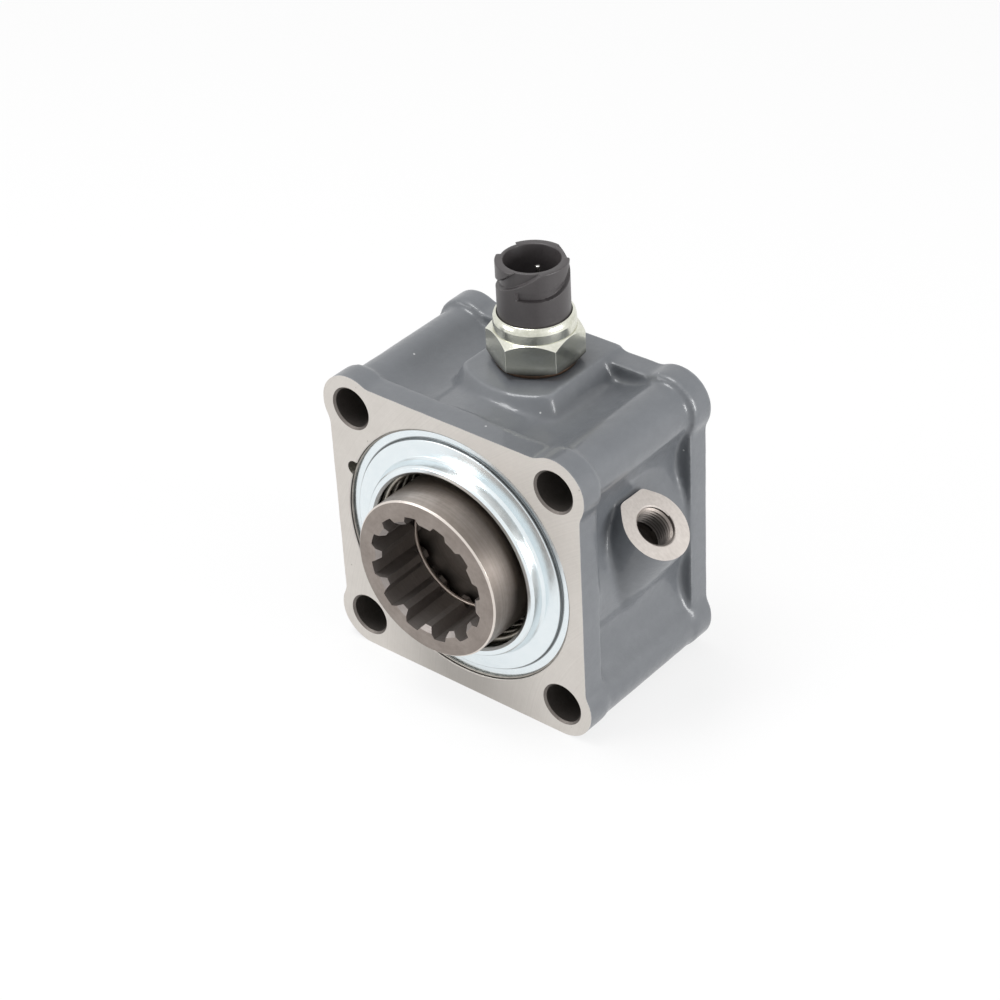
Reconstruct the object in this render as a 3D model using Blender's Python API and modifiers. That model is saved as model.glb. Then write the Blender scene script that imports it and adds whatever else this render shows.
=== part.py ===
"""Power take off unit: a cast housing with a splined shift sleeve, air piston, output shaft and switch.

Lengths are in metres. X points to the air port, Y from the gearbox face to the pump face and Z up.
Every piece hangs on an empty that stands on the shaft axis at the gearbox face.
"""
import math

import bmesh
import bpy
from mathutils import Matrix, Vector

MM = 0.001
GAP = 0.3 * MM
OVERCUT = 2 * MM

# Frame: the origin lies on the gearbox face, straight below the shaft axis
axis_height = 47 * MM

# Casting
bolt_spacing = 80 * MM
bolt_hole_radius = 6.75 * MM
bolt_hole_chamfer = 0.7 * MM
flange_rim = 1.5 * MM
flange_boss_radius = 11.5 * MM
front_flange_thickness = 9.3 * MM
rear_flange_thickness = 8 * MM
flange_edge_round = 1 * MM
flange_fillet = 3 * MM
column_radius = 9.3 * MM
lower_column_radius = 11 * MM
barrel_wall = 3.6 * MM
valley_radius = 20 * MM

# Switch pad on top of the casting
switch_axis_y = 43.2 * MM
pad_rise = 2.9 * MM
pad_foot_depth = 5.9 * MM
pad_half_width = 17.1 * MM
pad_foot_spread = 4.5 * MM
pad_front_radius = 25 * MM
pad_front_y = 21.5 * MM
pad_front_spread = 7.5 * MM

# Air port boss on the right side
port_face_rise = 7.6 * MM
port_face_y = 29.6 * MM
port_face_z = 17.3 * MM
port_tilt = math.radians(51.8)
port_boss_radius = 11.6 * MM
port_boss_spread = 2 * MM
port_boss_length = 36 * MM
port_shoulder_height = 11.6 * MM
port_shoulder_half_width = 5.4 * MM
port_thread_radius = 6.25 * MM
port_mouth_radius = 7 * MM
port_hole_depth = 13 * MM
air_passage_radius = 2 * MM

# Bores along the shaft axis, from the gearbox face to the pump face
retainer_seat_y = 3.9 * MM
web_front_y = 28 * MM
hub_end_room = 0.6 * MM
pilot_radius = 40 * MM
pilot_depth = 9 * MM
notch_radius = 2.7 * MM
notch_depth = 4 * MM
notch_angle = math.radians(157)

# Pieces in the front bore
retainer_seat_width = 3 * MM
retainer_sheet = 1.5 * MM
retainer_bend = 0.9 * MM
retainer_band_y = 2.1 * MM
retainer_band_width = 3.2 * MM
retainer_plate_y = 0.5 * MM
retainer_lip_wall = 2.3 * MM
retainer_lip_y = -4.1 * MM
retainer_lip_width = 3.3 * MM
snap_ring_wire = 1.4 * MM
snap_ring_y = 1.1 * MM
snap_ring_reach = 0.6 * MM
snap_ring_gap = 6 * MM
snap_ring_gap_angle = math.radians(20)
spring_wire = 2.2 * MM
spring_play = 2.1 * MM
spring_turns = 5
shift_stroke = 8 * MM

# Shift sleeve
sleeve_radius = 27.4 * MM
sleeve_front_y = -15.2 * MM
sleeve_rear_y = 36 * MM
sleeve_face_radius = 24.7 * MM
sleeve_face_fall = 0.3 * MM
sleeve_edge_bevel = 0.5 * MM
sleeve_tooth_count = 12
sleeve_tooth_tip_radius = 18.8 * MM
sleeve_tooth_root_radius = 22.1 * MM
sleeve_tooth_tip_share = 0.23
sleeve_tooth_root_share = 0.61
sleeve_teeth_end_y = 5 * MM
sleeve_tooth_phase = math.radians(26.2)
sleeve_mouth_radius = 20.4 * MM
sleeve_mouth_depth = 1.4 * MM
stop_ring_y = 2.6 * MM
stop_ring_wire = 1.6 * MM
sleeve_ring_width = 1.7 * MM
sleeve_ring_rise = 2.4 * MM
sleeve_ring_groove_depth = 1.2 * MM

# Slip teeth between the sleeve and the output shaft
slip_tooth_count = 24
slip_tip_radius = 23.2 * MM
slip_root_radius = 24.7 * MM
slip_tip_share = 0.42
slip_root_share = 0.52
slip_play_share = 0.12

# Piston
piston_lip_front_y = 24 * MM
piston_lip_width = 3 * MM
piston_lip_play = 0.4 * MM
piston_skirt_front_y = 15 * MM
piston_cup_play = 3.8 * MM
piston_skirt_wall = 5.2 * MM
piston_hub_wall = 2.8 * MM
piston_hub_end_y = 40.4 * MM
spring_ledge_y = 21.4 * MM
seal_width = 3 * MM
seal_depth = 2.4 * MM
outer_seal_y = 21 * MM
hub_seal_y = 38 * MM

# Output shaft and its bearing
bearing_bore_radius = 22.5 * MM
bearing_section = 15 * MM
bearing_width = 10 * MM
ball_radius = 3.5 * MM
ball_count = 11
race_shoulder = 2 * MM
ball_play = 0.4 * MM
cage_play = 0.5 * MM
cage_thickness = 2.2 * MM
shaft_front_y = 7 * MM
shaft_collar_width = 3 * MM
shaft_collar_radius = 26 * MM
shaft_end_land = 1.25 * MM
oil_hole_radius = 6 * MM
pump_key_count = 8
pump_key_width = 6 * MM
pump_key_mouth = 6.1 * MM
pump_spline_minor_radius = 16 * MM
pump_spline_major_radius = 18 * MM
pump_spline_length = 40 * MM
housing_circlip_width = 2.5 * MM
housing_circlip_groove = 1.5 * MM
housing_circlip_land = 0.9 * MM
shaft_circlip_width = 1.75 * MM
shaft_circlip_groove = 1.3 * MM
circlip_reach = 4 * MM

# Switch
hexagon_width = 27 * MM
hexagon_height = 10.5 * MM
hexagon_turn = math.radians(2)
hexagon_chamfer = 1.75 * MM
hexagon_chamfer_start = 0.2 * MM
washer_thickness = 1.1 * MM
washer_radius = 13.2 * MM
shank_radius = 8.7 * MM
shank_length = 9.4 * MM
collar_radius = 13.1 * MM
collar_height = 5.4 * MM
collar_wall_height = 2.8 * MM
connector_radius = 11.5 * MM
connector_core_radius = 10.2 * MM
connector_height = 23.3 * MM
connector_groove_count = 3
groove_depth = 9.1 * MM
groove_width = 2.9 * MM
groove_lead_in = 1.9 * MM
cavity_radius = 8.95 * MM
cavity_depth = 14 * MM
pin_radius = 0.8 * MM
pin_height = 9 * MM
pin_root = 3 * MM
pin_offset = Vector((-1.4 * MM, 4.3 * MM))

# Facets
BORE_STEPS = 44
RETAINER_STEPS = 40
SLEEVE_STEPS = 36
BEARING_STEPS = 33
SMALL_STEPS = 28
HOLE_STEPS = 14
FINE_HOLE_STEPS = 10
SPRING_STEPS = 12

# Radii that follow from the sleeve outwards to the casting
piston_lip_radius = sleeve_radius + piston_lip_play
sleeve_ring_radius = sleeve_radius + sleeve_ring_rise
hub_inner_radius = sleeve_ring_radius + GAP
hub_radius = hub_inner_radius + piston_hub_wall
hub_bore_radius = hub_radius + GAP
spring_inner_radius = sleeve_radius + spring_play
spring_radius = spring_inner_radius + spring_wire / 2
spring_outer_radius = spring_inner_radius + spring_wire
piston_cup_radius = spring_outer_radius + piston_cup_play
piston_radius = piston_cup_radius + piston_skirt_wall
chamber_radius = piston_radius + GAP
retainer_lip_radius = spring_outer_radius + retainer_lip_wall
retainer_inner_radius = retainer_lip_radius - retainer_lip_width
retainer_outer_radius = chamber_radius + retainer_seat_width
retainer_step_radius = retainer_outer_radius - retainer_band_width
front_bore_radius = retainer_outer_radius + GAP
snap_ring_radius = front_bore_radius - snap_ring_reach
barrel_radius = front_bore_radius + barrel_wall
flange_half_width = barrel_radius + flange_rim
pad_top = barrel_radius + pad_rise
pad_foot = barrel_radius - pad_foot_depth
port_face_x = barrel_radius + port_face_rise

# Places along the axis that follow from the piston back to the pump face
bearing_outer_radius = bearing_bore_radius + bearing_section
bearing_shoulder_y = piston_hub_end_y + hub_end_room
bearing_front_y = bearing_shoulder_y + GAP
bearing_rear_y = bearing_front_y + bearing_width
circlip_front_y = bearing_rear_y + GAP
shaft_collar_front_y = bearing_front_y - shaft_collar_width
shaft_rear_y = circlip_front_y + shaft_circlip_width + shaft_end_land
pilot_floor_y = circlip_front_y + housing_circlip_width + housing_circlip_land
housing_depth = pilot_floor_y + pilot_depth
rear_flange_front_y = housing_depth - rear_flange_thickness

# Sizes that follow from those above
bolt_offset = bolt_spacing / 2
piston_rear_y = web_front_y - GAP
bearing_pitch_radius = (bearing_bore_radius + bearing_outer_radius) / 2
hexagon_base = pad_top + washer_thickness + 2 * GAP
collar_base = hexagon_base + hexagon_height
collar_top = collar_base + collar_height
connector_foot = collar_base + 1.8 * MM
rim_height = hexagon_base + hexagon_height + connector_height
port_normal = Vector((math.cos(port_tilt), 0, math.sin(port_tilt)))
port_upward = Vector((-math.sin(port_tilt), 0, math.cos(port_tilt)))
port_face = Vector((port_face_x, port_face_y, port_face_z))


def clear_scene():
    for old in list(bpy.data.objects):
        bpy.data.objects.remove(old, do_unlink=True)


def new_collection(name):
    collection = bpy.data.collections.new(name)
    bpy.context.scene.collection.children.link(collection)
    return collection


def finish(name, colour, roughness, metallic):
    material = bpy.data.materials.new(name)
    material.use_nodes = True
    shader = material.node_tree.nodes["Principled BSDF"]
    shader.inputs["Base Color"].default_value = (*colour, 1)
    shader.inputs["Roughness"].default_value = roughness
    shader.inputs["Metallic"].default_value = metallic
    return material


clear_scene()
parts = new_collection("power_take_off_unit")
cutters = new_collection("cutters")

cast_paint = finish("dark grey paint on cast iron", (0.155, 0.165, 0.175), 0.45, 0.0)
zinc = finish("bright zinc plate", (0.72, 0.76, 0.8), 0.3, 1.0)
machined_steel = finish("machined steel", (0.4, 0.37, 0.35), 0.4, 1.0)
spring_steel = finish("oiled spring steel", (0.22, 0.22, 0.21), 0.4, 1.0)
black_steel = finish("blackened steel", (0.05, 0.05, 0.055), 0.5, 1.0)
bearing_steel = finish("polished bearing steel", (0.62, 0.62, 0.63), 0.2, 1.0)
pressed_steel = finish("pressed steel cage", (0.5, 0.48, 0.44), 0.35, 1.0)
aluminium = finish("turned aluminium", (0.66, 0.67, 0.68), 0.35, 1.0)
rubber = finish("black rubber", (0.03, 0.03, 0.03), 0.7, 0.0)
yellow_zinc = finish("olive yellow zinc", (0.5, 0.5, 0.4), 0.3, 1.0)
copper = finish("copper", (0.55, 0.3, 0.18), 0.4, 1.0)
black_plastic = finish("dark brown grey plastic", (0.055, 0.05, 0.052), 0.45, 0.0)
tinned = finish("tinned contact", (0.85, 0.84, 0.8), 0.25, 1.0)

unit_axis = bpy.data.objects.new("unit_axis", None)
unit_axis.location = (0, 0, axis_height)
parts.objects.link(unit_axis)

ALONG_SHAFT = Matrix.Rotation(math.radians(-90), 4, "X")
FACING_FRONT = Matrix.Rotation(math.radians(90), 4, "X")
UPRIGHT = Matrix.Identity(4)


def arc(centre, radius, start, end, steps):
    angles = [start + (end - start) * i / steps for i in range(steps + 1)]
    return [(centre[0] + radius * math.cos(a), centre[1] + radius * math.sin(a)) for a in angles]


def add_mesh_object(name, mesh, frame, location, collection):
    thing = bpy.data.objects.new(name, mesh)
    collection.objects.link(thing)
    thing.parent = unit_axis
    thing.matrix_local = Matrix.Translation(Vector(location)) @ frame
    if collection is cutters:
        thing.hide_render = True
        thing.display_type = "WIRE"
    return thing


def bake(thing):
    """Replace the object's mesh by what its modifiers make of it."""
    bpy.context.view_layer.update()
    evaluated = thing.evaluated_get(bpy.context.evaluated_depsgraph_get())
    thing.modifiers.clear()
    thing.data = bpy.data.meshes.new_from_object(evaluated)
    return thing


def shade(thing, material, smooth=True, sharp_angle=35):
    thing.data.materials.clear()
    thing.data.materials.append(material)
    if smooth:
        thing.data.shade_smooth()
        thing.data.set_sharp_from_angle(angle=math.radians(sharp_angle))
    return thing


def combine(thing, tool, operation):
    modifier = thing.modifiers.new(operation.lower(), "BOOLEAN")
    modifier.operation = operation
    modifier.object = tool
    bake(thing)
    bpy.data.objects.remove(tool, do_unlink=True)


def cut(thing, tool):
    combine(thing, tool, "DIFFERENCE")


def join(thing, tool):
    combine(thing, tool, "UNION")


def turned(name, profile, steps, frame=ALONG_SHAFT, location=(0, 0, 0), collection=None):
    """Turn a closed outline of (radius, height) points about the height axis."""
    area = sum(a[0] * b[1] - b[0] * a[1] for a, b in zip(profile, profile[1:] + profile[:1]))
    points = list(profile) if area < 0 else list(reversed(profile))
    on_axis = [i for i, point in enumerate(points) if point[0] == 0]
    closed = not on_axis
    if on_axis:
        first = next(i for i in on_axis if points[i - 1][0] == 0)
        points = points[first:] + points[:first]
    mesh = bpy.data.meshes.new(name)
    edges = [(i, i + 1) for i in range(len(points) - 1)]
    if closed:
        edges.append((len(points) - 1, 0))
    mesh.from_pydata([(radius, 0, height) for radius, height in points], edges, [])
    thing = add_mesh_object(name, mesh, frame, location, collection or parts)
    screw = thing.modifiers.new("turn", "SCREW")
    screw.steps = steps
    screw.render_steps = steps
    screw.use_merge_vertices = True
    screw.merge_threshold = 0.000001
    return bake(thing)


def mesh_from_curve(name, curve, frame, location, collection):
    """Turn a curve into a welded mesh object in the same place."""
    drawn = add_mesh_object(name + "_drawn", curve, frame, location, collection)
    bpy.context.view_layer.update()
    mesh = bpy.data.meshes.new_from_object(drawn.evaluated_get(bpy.context.evaluated_depsgraph_get()))
    bpy.data.objects.remove(drawn, do_unlink=True)
    weld = bmesh.new()
    weld.from_mesh(mesh)
    bmesh.ops.remove_doubles(weld, verts=weld.verts, dist=0.000001)
    bmesh.ops.dissolve_limit(weld, angle_limit=math.radians(0.5), verts=weld.verts, edges=weld.edges)
    bmesh.ops.recalc_face_normals(weld, faces=weld.faces)
    weld.to_mesh(mesh)
    weld.free()
    return add_mesh_object(name, mesh, frame, location, collection)


def extruded(name, outline, front_y, back_y, collection=None, edge_round=0):
    """Extrude an outline seen from the front, from front_y to back_y."""
    curve = bpy.data.curves.new(name, "CURVE")
    curve.dimensions = "2D"
    curve.fill_mode = "BOTH"
    curve.extrude = (back_y - front_y) / 2 - edge_round
    curve.bevel_depth = edge_round
    curve.bevel_resolution = 0
    curve.offset = -edge_round
    spline = curve.splines.new("POLY")
    spline.points.add(len(outline) - 1)
    for point, (x, y) in zip(spline.points, outline):
        point.co = (x, y, 0, 1)
    spline.use_cyclic_u = True
    return mesh_from_curve(name, curve, FACING_FRONT, (0, (front_y + back_y) / 2, 0), collection or parts)


def lofted(name, sections, collection=None):
    """Skin closed sections of equal point counts and cap both ends."""
    skin = bmesh.new()
    rings = [[skin.verts.new(point) for point in section] for section in sections]
    for low, high in zip(rings, rings[1:]):
        for i in range(len(low)):
            j = (i + 1) % len(low)
            skin.faces.new((low[i], low[j], high[j], high[i]))
    skin.faces.new(list(reversed(rings[0])))
    skin.faces.new(rings[-1])
    bmesh.ops.recalc_face_normals(skin, faces=skin.faces)
    mesh = bpy.data.meshes.new(name)
    skin.to_mesh(mesh)
    skin.free()
    return add_mesh_object(name, mesh, UPRIGHT, (0, 0, 0), collection or parts)


def rod(name, start, end, radius, steps=SMALL_STEPS, end_radius=None):
    """Round cutter between two points, as a cylinder or a cone."""
    start = Vector(start)
    direction = Vector(end) - start
    skin = bmesh.new()
    bmesh.ops.create_cone(skin, cap_ends=True, segments=steps, radius1=radius,
                          radius2=radius if end_radius is None else end_radius, depth=direction.length)
    mesh = bpy.data.meshes.new(name)
    skin.to_mesh(mesh)
    skin.free()
    frame = direction.to_track_quat("Z", "Y").to_matrix().to_4x4()
    return add_mesh_object(name, mesh, frame, start + direction / 2, cutters)


def box(name, low, high, frame=UPRIGHT, collection=None):
    low = Vector(low)
    high = Vector(high)
    skin = bmesh.new()
    bmesh.ops.create_cube(skin, size=1, matrix=Matrix.Diagonal((*(high - low), 1)))
    mesh = bpy.data.meshes.new(name)
    skin.to_mesh(mesh)
    skin.free()
    return add_mesh_object(name, mesh, frame, frame @ ((low + high) / 2), collection or cutters)


def wire_ring(name, radius, wire, y, gap_angle, gap_width, steps, material):
    """Open ring of round wire, its gap centred on gap_angle."""
    curve = bpy.data.curves.new(name, "CURVE")
    curve.dimensions = "3D"
    curve.bevel_depth = wire / 2
    curve.bevel_resolution = 2
    curve.use_fill_caps = True
    half_gap = gap_width / radius / 2
    path = arc((0, 0), radius, gap_angle + half_gap, gap_angle + 2 * math.pi - half_gap, steps)
    return wire_object(name, curve, [(x, y, z) for x, z in path], material)


def wire_object(name, curve, path, material):
    spline = curve.splines.new("POLY")
    spline.points.add(len(path) - 1)
    for point, place in zip(spline.points, path):
        point.co = (*place, 1)
    return shade(mesh_from_curve(name, curve, UPRIGHT, (0, 0, 0), parts), material)


# Outlines of the casting, seen from the front

def turned_quarter(quarter, turn):
    """Turn the points of the first quarter round the shaft axis by that many right angles."""
    c = round(math.cos(turn * math.pi / 2))
    s = round(math.sin(turn * math.pi / 2))
    return [(x * c - z * s, x * s + z * c) for x, z in quarter]


def flange_outline():
    """Square with a round boss at each bolt hole, joined by small fillets.

    The lower side runs straight from boss to boss, so the unit stands on it.
    """
    level = flange_half_width + flange_fillet - bolt_offset
    reach = flange_boss_radius + flange_fillet
    back = math.sqrt(reach ** 2 - level ** 2)
    centre = (bolt_offset - back, flange_half_width + flange_fillet)
    boss_start = math.atan2(level, -back)
    before = arc((centre[1], centre[0]), flange_fillet, math.pi, 3 * math.pi / 2 - boss_start, 2)[:-1]
    after = arc(centre, flange_fillet, boss_start - math.pi, -math.pi / 2, 2)[1:]
    upper_boss = arc((bolt_offset, bolt_offset), flange_boss_radius, math.pi / 2 - boss_start, boss_start, 8)
    left_boss = arc((bolt_offset, bolt_offset), flange_boss_radius, math.pi / 2 - boss_start, math.pi / 2, 6)
    right_boss = arc((bolt_offset, bolt_offset), flange_boss_radius, 0, boss_start, 6)
    upper = before + upper_boss + after
    return (turned_quarter(upper, 0) + turned_quarter(upper, 1) + turned_quarter(before + left_boss, 2)
            + turned_quarter(right_boss + after, 3))


def body_quarter(column):
    """One quarter of the body: half the barrel's arcs, two valleys and the bolt column between them."""
    diagonal = bolt_offset * math.sqrt(2)
    to_barrel = barrel_radius + valley_radius
    to_column = column + valley_radius
    along = (to_barrel ** 2 - to_column ** 2 + diagonal ** 2) / (2 * diagonal)
    across = math.sqrt(to_barrel ** 2 - along ** 2)
    centre = ((along + across) / math.sqrt(2), (along - across) / math.sqrt(2))
    low = math.atan2(centre[1], centre[0])
    column_start = math.atan2(centre[1] - bolt_offset, centre[0] - bolt_offset)
    barrel = arc((0, 0), barrel_radius, 0, low, 2)
    valley = arc(centre, valley_radius, low + math.pi, column_start + math.pi, 3)
    crown = arc((bolt_offset, bolt_offset), column, column_start, math.pi / 2 - column_start, 6)
    mirrored = [(z, x) for x, z in reversed(barrel[1:] + valley[1:-1])]
    return barrel + valley[1:-1] + crown + mirrored


def body_outline():
    """Barrel round the bores and four bolt columns, joined by valleys."""
    upper = body_quarter(column_radius)
    lower = body_quarter(lower_column_radius)
    return [point for turn, quarter in enumerate((upper, upper, lower, lower))
            for point in turned_quarter(quarter, turn)]


def pad_section(height, half_width, front_y):
    """Plan of the switch pad: flat sides and a front edge that bows forward."""
    centre_y = front_y + pad_front_radius
    swing = math.asin(half_width / pad_front_radius)
    front = arc((0, centre_y), pad_front_radius, -math.pi / 2 - swing, -math.pi / 2 + swing, 10)
    back_y = housing_depth + OVERCUT
    plan = front + [(half_width, back_y), (-half_width, back_y)]
    return [Vector((x, y, height)) for x, y in plan]


def port_section(depth, spread):
    """Section of the port boss: a round wall with two shoulders on its upper side."""
    centre = port_face - port_normal * depth
    radius = port_boss_radius + spread
    corner = Vector((port_shoulder_half_width + spread, port_shoulder_height + spread))
    start = math.atan2(corner.y, corner.x) - math.acos(radius / corner.length)
    plan = arc((0, 0), radius, math.pi - start, 2 * math.pi + start, 20)
    plan += [(corner.x, corner.y), (-corner.x, corner.y)]
    return [centre + Vector((0, y, 0)) + port_upward * t for y, t in plan]


def spline_outline(count, inner_radius, outer_radius, inner_share, outer_share, phase):
    """Ring of straight-sided teeth: shares are the tooth's part of the pitch at each radius.

    With the inner share below one half the teeth point inwards from the outer radius.
    """
    pitch = 2 * math.pi / count
    points = []
    for tooth in range(count):
        middle = phase + tooth * pitch
        inner_half = pitch * inner_share / 2
        outer_half = pitch * outer_share / 2
        points += arc((0, 0), inner_radius, middle - inner_half, middle + inner_half, 1)
        points += arc((0, 0), outer_radius, middle + outer_half, middle + pitch - outer_half, 1)
    return points


# Housing

def bore_profile():
    """Everything bored out along the shaft axis, as one turned shape."""
    groove_radius = bearing_outer_radius + housing_circlip_groove
    groove_rear = circlip_front_y + housing_circlip_width + GAP / 2
    return [
        (0, -OVERCUT), (front_bore_radius, -OVERCUT),
        (front_bore_radius, snap_ring_y - snap_ring_wire / 2 - GAP),
        (snap_ring_radius + snap_ring_wire / 2 + GAP, snap_ring_y - snap_ring_wire / 2 - GAP),
        (snap_ring_radius + snap_ring_wire / 2 + GAP, snap_ring_y + snap_ring_wire / 2 + GAP / 3),
        (retainer_outer_radius + GAP, snap_ring_y + snap_ring_wire / 2 + GAP / 3),
        (retainer_outer_radius + GAP, retainer_seat_y), (chamber_radius, retainer_seat_y),
        (chamber_radius, web_front_y), (hub_bore_radius, web_front_y), (hub_bore_radius, bearing_shoulder_y),
        (bearing_outer_radius, bearing_shoulder_y), (bearing_outer_radius, circlip_front_y - GAP / 2),
        (groove_radius, circlip_front_y - GAP / 2), (groove_radius, groove_rear),
        (bearing_outer_radius, groove_rear), (bearing_outer_radius, pilot_floor_y),
        (pilot_radius, pilot_floor_y), (pilot_radius, housing_depth + OVERCUT), (0, housing_depth + OVERCUT)]


def cast_housing():
    """The casting as it leaves the mould, a little over length at both faces."""
    blank = extruded("housing", body_outline(), -OVERCUT / 2, housing_depth + OVERCUT / 2)
    flange = flange_outline()
    join(blank, extruded("front_flange", flange, -OVERCUT * 2, front_flange_thickness,
                         cutters, edge_round=flange_edge_round))
    join(blank, extruded("rear_flange", flange, rear_flange_front_y, housing_depth + OVERCUT * 2,
                         cutters, edge_round=flange_edge_round))
    foot = pad_section(pad_foot, pad_half_width + pad_foot_spread, pad_front_y - pad_front_spread)
    top = pad_section(pad_top, pad_half_width, pad_front_y)
    join(blank, lofted("switch_pad", [foot, top], cutters))
    port_sections = [port_section(port_boss_length, port_boss_spread), port_section(-1 * MM, 0)]
    join(blank, lofted("port_boss", port_sections, cutters))
    return blank


def machine_faces(casting):
    """Mill both joint faces and the face of the air port."""
    wide = flange_half_width * 2
    cut(casting, box("front_mill", (-wide, -20 * MM, -wide), (wide, 0, wide)))
    cut(casting, box("rear_mill", (-wide, housing_depth, -wide), (wide, housing_depth + 20 * MM, wide)))
    tilt = Matrix.Rotation(-port_tilt, 4, "Y")
    local = tilt.inverted() @ port_face
    reach = port_boss_radius + 4 * MM
    cut(casting, box("port_mill", (local.x, local.y - reach, local.z - reach),
                     (local.x + 6 * MM, local.y + reach, local.z + port_shoulder_height), tilt))


def machine_holes(casting):
    """Bore the housing and drill the bolt, switch, port and air holes."""
    cut(casting, turned("main_bore", bore_profile(), BORE_STEPS, collection=cutters))
    for x in (-bolt_offset, bolt_offset):
        for z in (-bolt_offset, bolt_offset):
            r = bolt_hole_radius
            c = bolt_hole_chamfer
            profile = [(0, -OVERCUT), (r + c + OVERCUT, -OVERCUT), (r, c), (r, housing_depth + OVERCUT),
                       (0, housing_depth + OVERCUT)]
            cut(casting, turned("bolt_hole", profile, HOLE_STEPS, location=(x, 0, z), collection=cutters))
    notch = (front_bore_radius * math.cos(notch_angle), 0, front_bore_radius * math.sin(notch_angle))
    cut(casting, rod("notch", (notch[0], -OVERCUT, notch[2]), (notch[0], notch_depth, notch[2]), notch_radius,
                     HOLE_STEPS))
    switch_floor = pad_top - shank_length
    cut(casting, rod("switch_hole", (0, switch_axis_y, switch_floor), (0, switch_axis_y, pad_top + OVERCUT),
                     shank_radius + GAP))
    cut(casting, rod("switch_air", (0, switch_axis_y - shank_radius * 0.7, switch_floor + 1 * MM),
                     (0, web_front_y - OVERCUT, chamber_radius - OVERCUT), air_passage_radius,
                     FINE_HOLE_STEPS))
    mouth = port_mouth_radius - port_thread_radius
    profile = [(0, -port_hole_depth), (port_thread_radius, -port_hole_depth), (port_thread_radius, -mouth),
               (port_mouth_radius + OVERCUT, OVERCUT), (0, OVERCUT)]
    facing_port = port_normal.to_track_quat("Z", "Y").to_matrix().to_4x4()
    cut(casting, turned("port_hole", profile, SMALL_STEPS, facing_port, port_face, cutters))
    hole_floor = port_face - port_normal * (port_hole_depth - 1 * MM)
    chamber_side = Vector((chamber_radius - OVERCUT, web_front_y - OVERCUT, 0))
    cut(casting, rod("port_air", hole_floor, chamber_side, air_passage_radius, FINE_HOLE_STEPS))


def make_housing():
    housing = cast_housing()
    machine_faces(housing)
    machine_holes(housing)
    shade(housing, cast_paint, sharp_angle=28)


# Pieces in the front bore

def make_retainer():
    """Pressed ring: outer band, step, flat plate, second step and a rolled lip."""
    sheet = retainer_sheet
    bend = retainer_bend
    inner, step, wall = retainer_inner_radius, retainer_step_radius, retainer_lip_radius
    band, plate, lip = retainer_band_y, retainer_plate_y, retainer_lip_y
    front = [(retainer_outer_radius, band), (step, band), (step - bend / 2, plate), (wall + bend, plate),
             (wall, plate - bend * 1.6), (wall - bend * 0.7, lip + bend), (wall - bend * 1.7, lip),
             (inner + bend, lip), (inner, lip + bend)]
    back = [(inner, lip + sheet), (wall - bend * 2.1, lip + sheet), (wall - bend, plate + sheet),
            (step - sheet - bend * 0.2, plate + sheet), (step - sheet, band + sheet),
            (retainer_outer_radius, band + sheet)]
    shade(turned("spring_retainer", front + back, RETAINER_STEPS), zinc)


def make_snap_ring():
    wire_ring("retainer_snap_ring", snap_ring_radius, snap_ring_wire, snap_ring_y, snap_ring_gap_angle,
              snap_ring_gap, 32, black_steel)


def make_return_spring():
    """Coil spring between the retainer's lip and the ledge in the piston, with closed end turns."""
    front = retainer_lip_y + retainer_sheet + GAP + spring_wire / 2
    rear = spring_ledge_y - GAP - spring_wire / 2
    steps = spring_turns * SPRING_STEPS
    path = []
    for i in range(steps + 1):
        share = i / steps
        angle = 2 * math.pi * spring_turns * share
        path.append((spring_radius * math.cos(angle), front + (rear - front) * share,
                     spring_radius * math.sin(angle)))
    curve = bpy.data.curves.new("return_spring", "CURVE")
    curve.dimensions = "3D"
    curve.bevel_depth = spring_wire / 2
    curve.bevel_resolution = 2
    curve.use_fill_caps = True
    wire_object("return_spring", curve, path, spring_steel)


# Shift sleeve and what is on it

def ring_grooves():
    """Front edges of the two ring grooves on the sleeve, either side of the piston's lip."""
    front = piston_lip_front_y - GAP - sleeve_ring_width
    rear = piston_lip_front_y + piston_lip_width + GAP
    return front, rear


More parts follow.
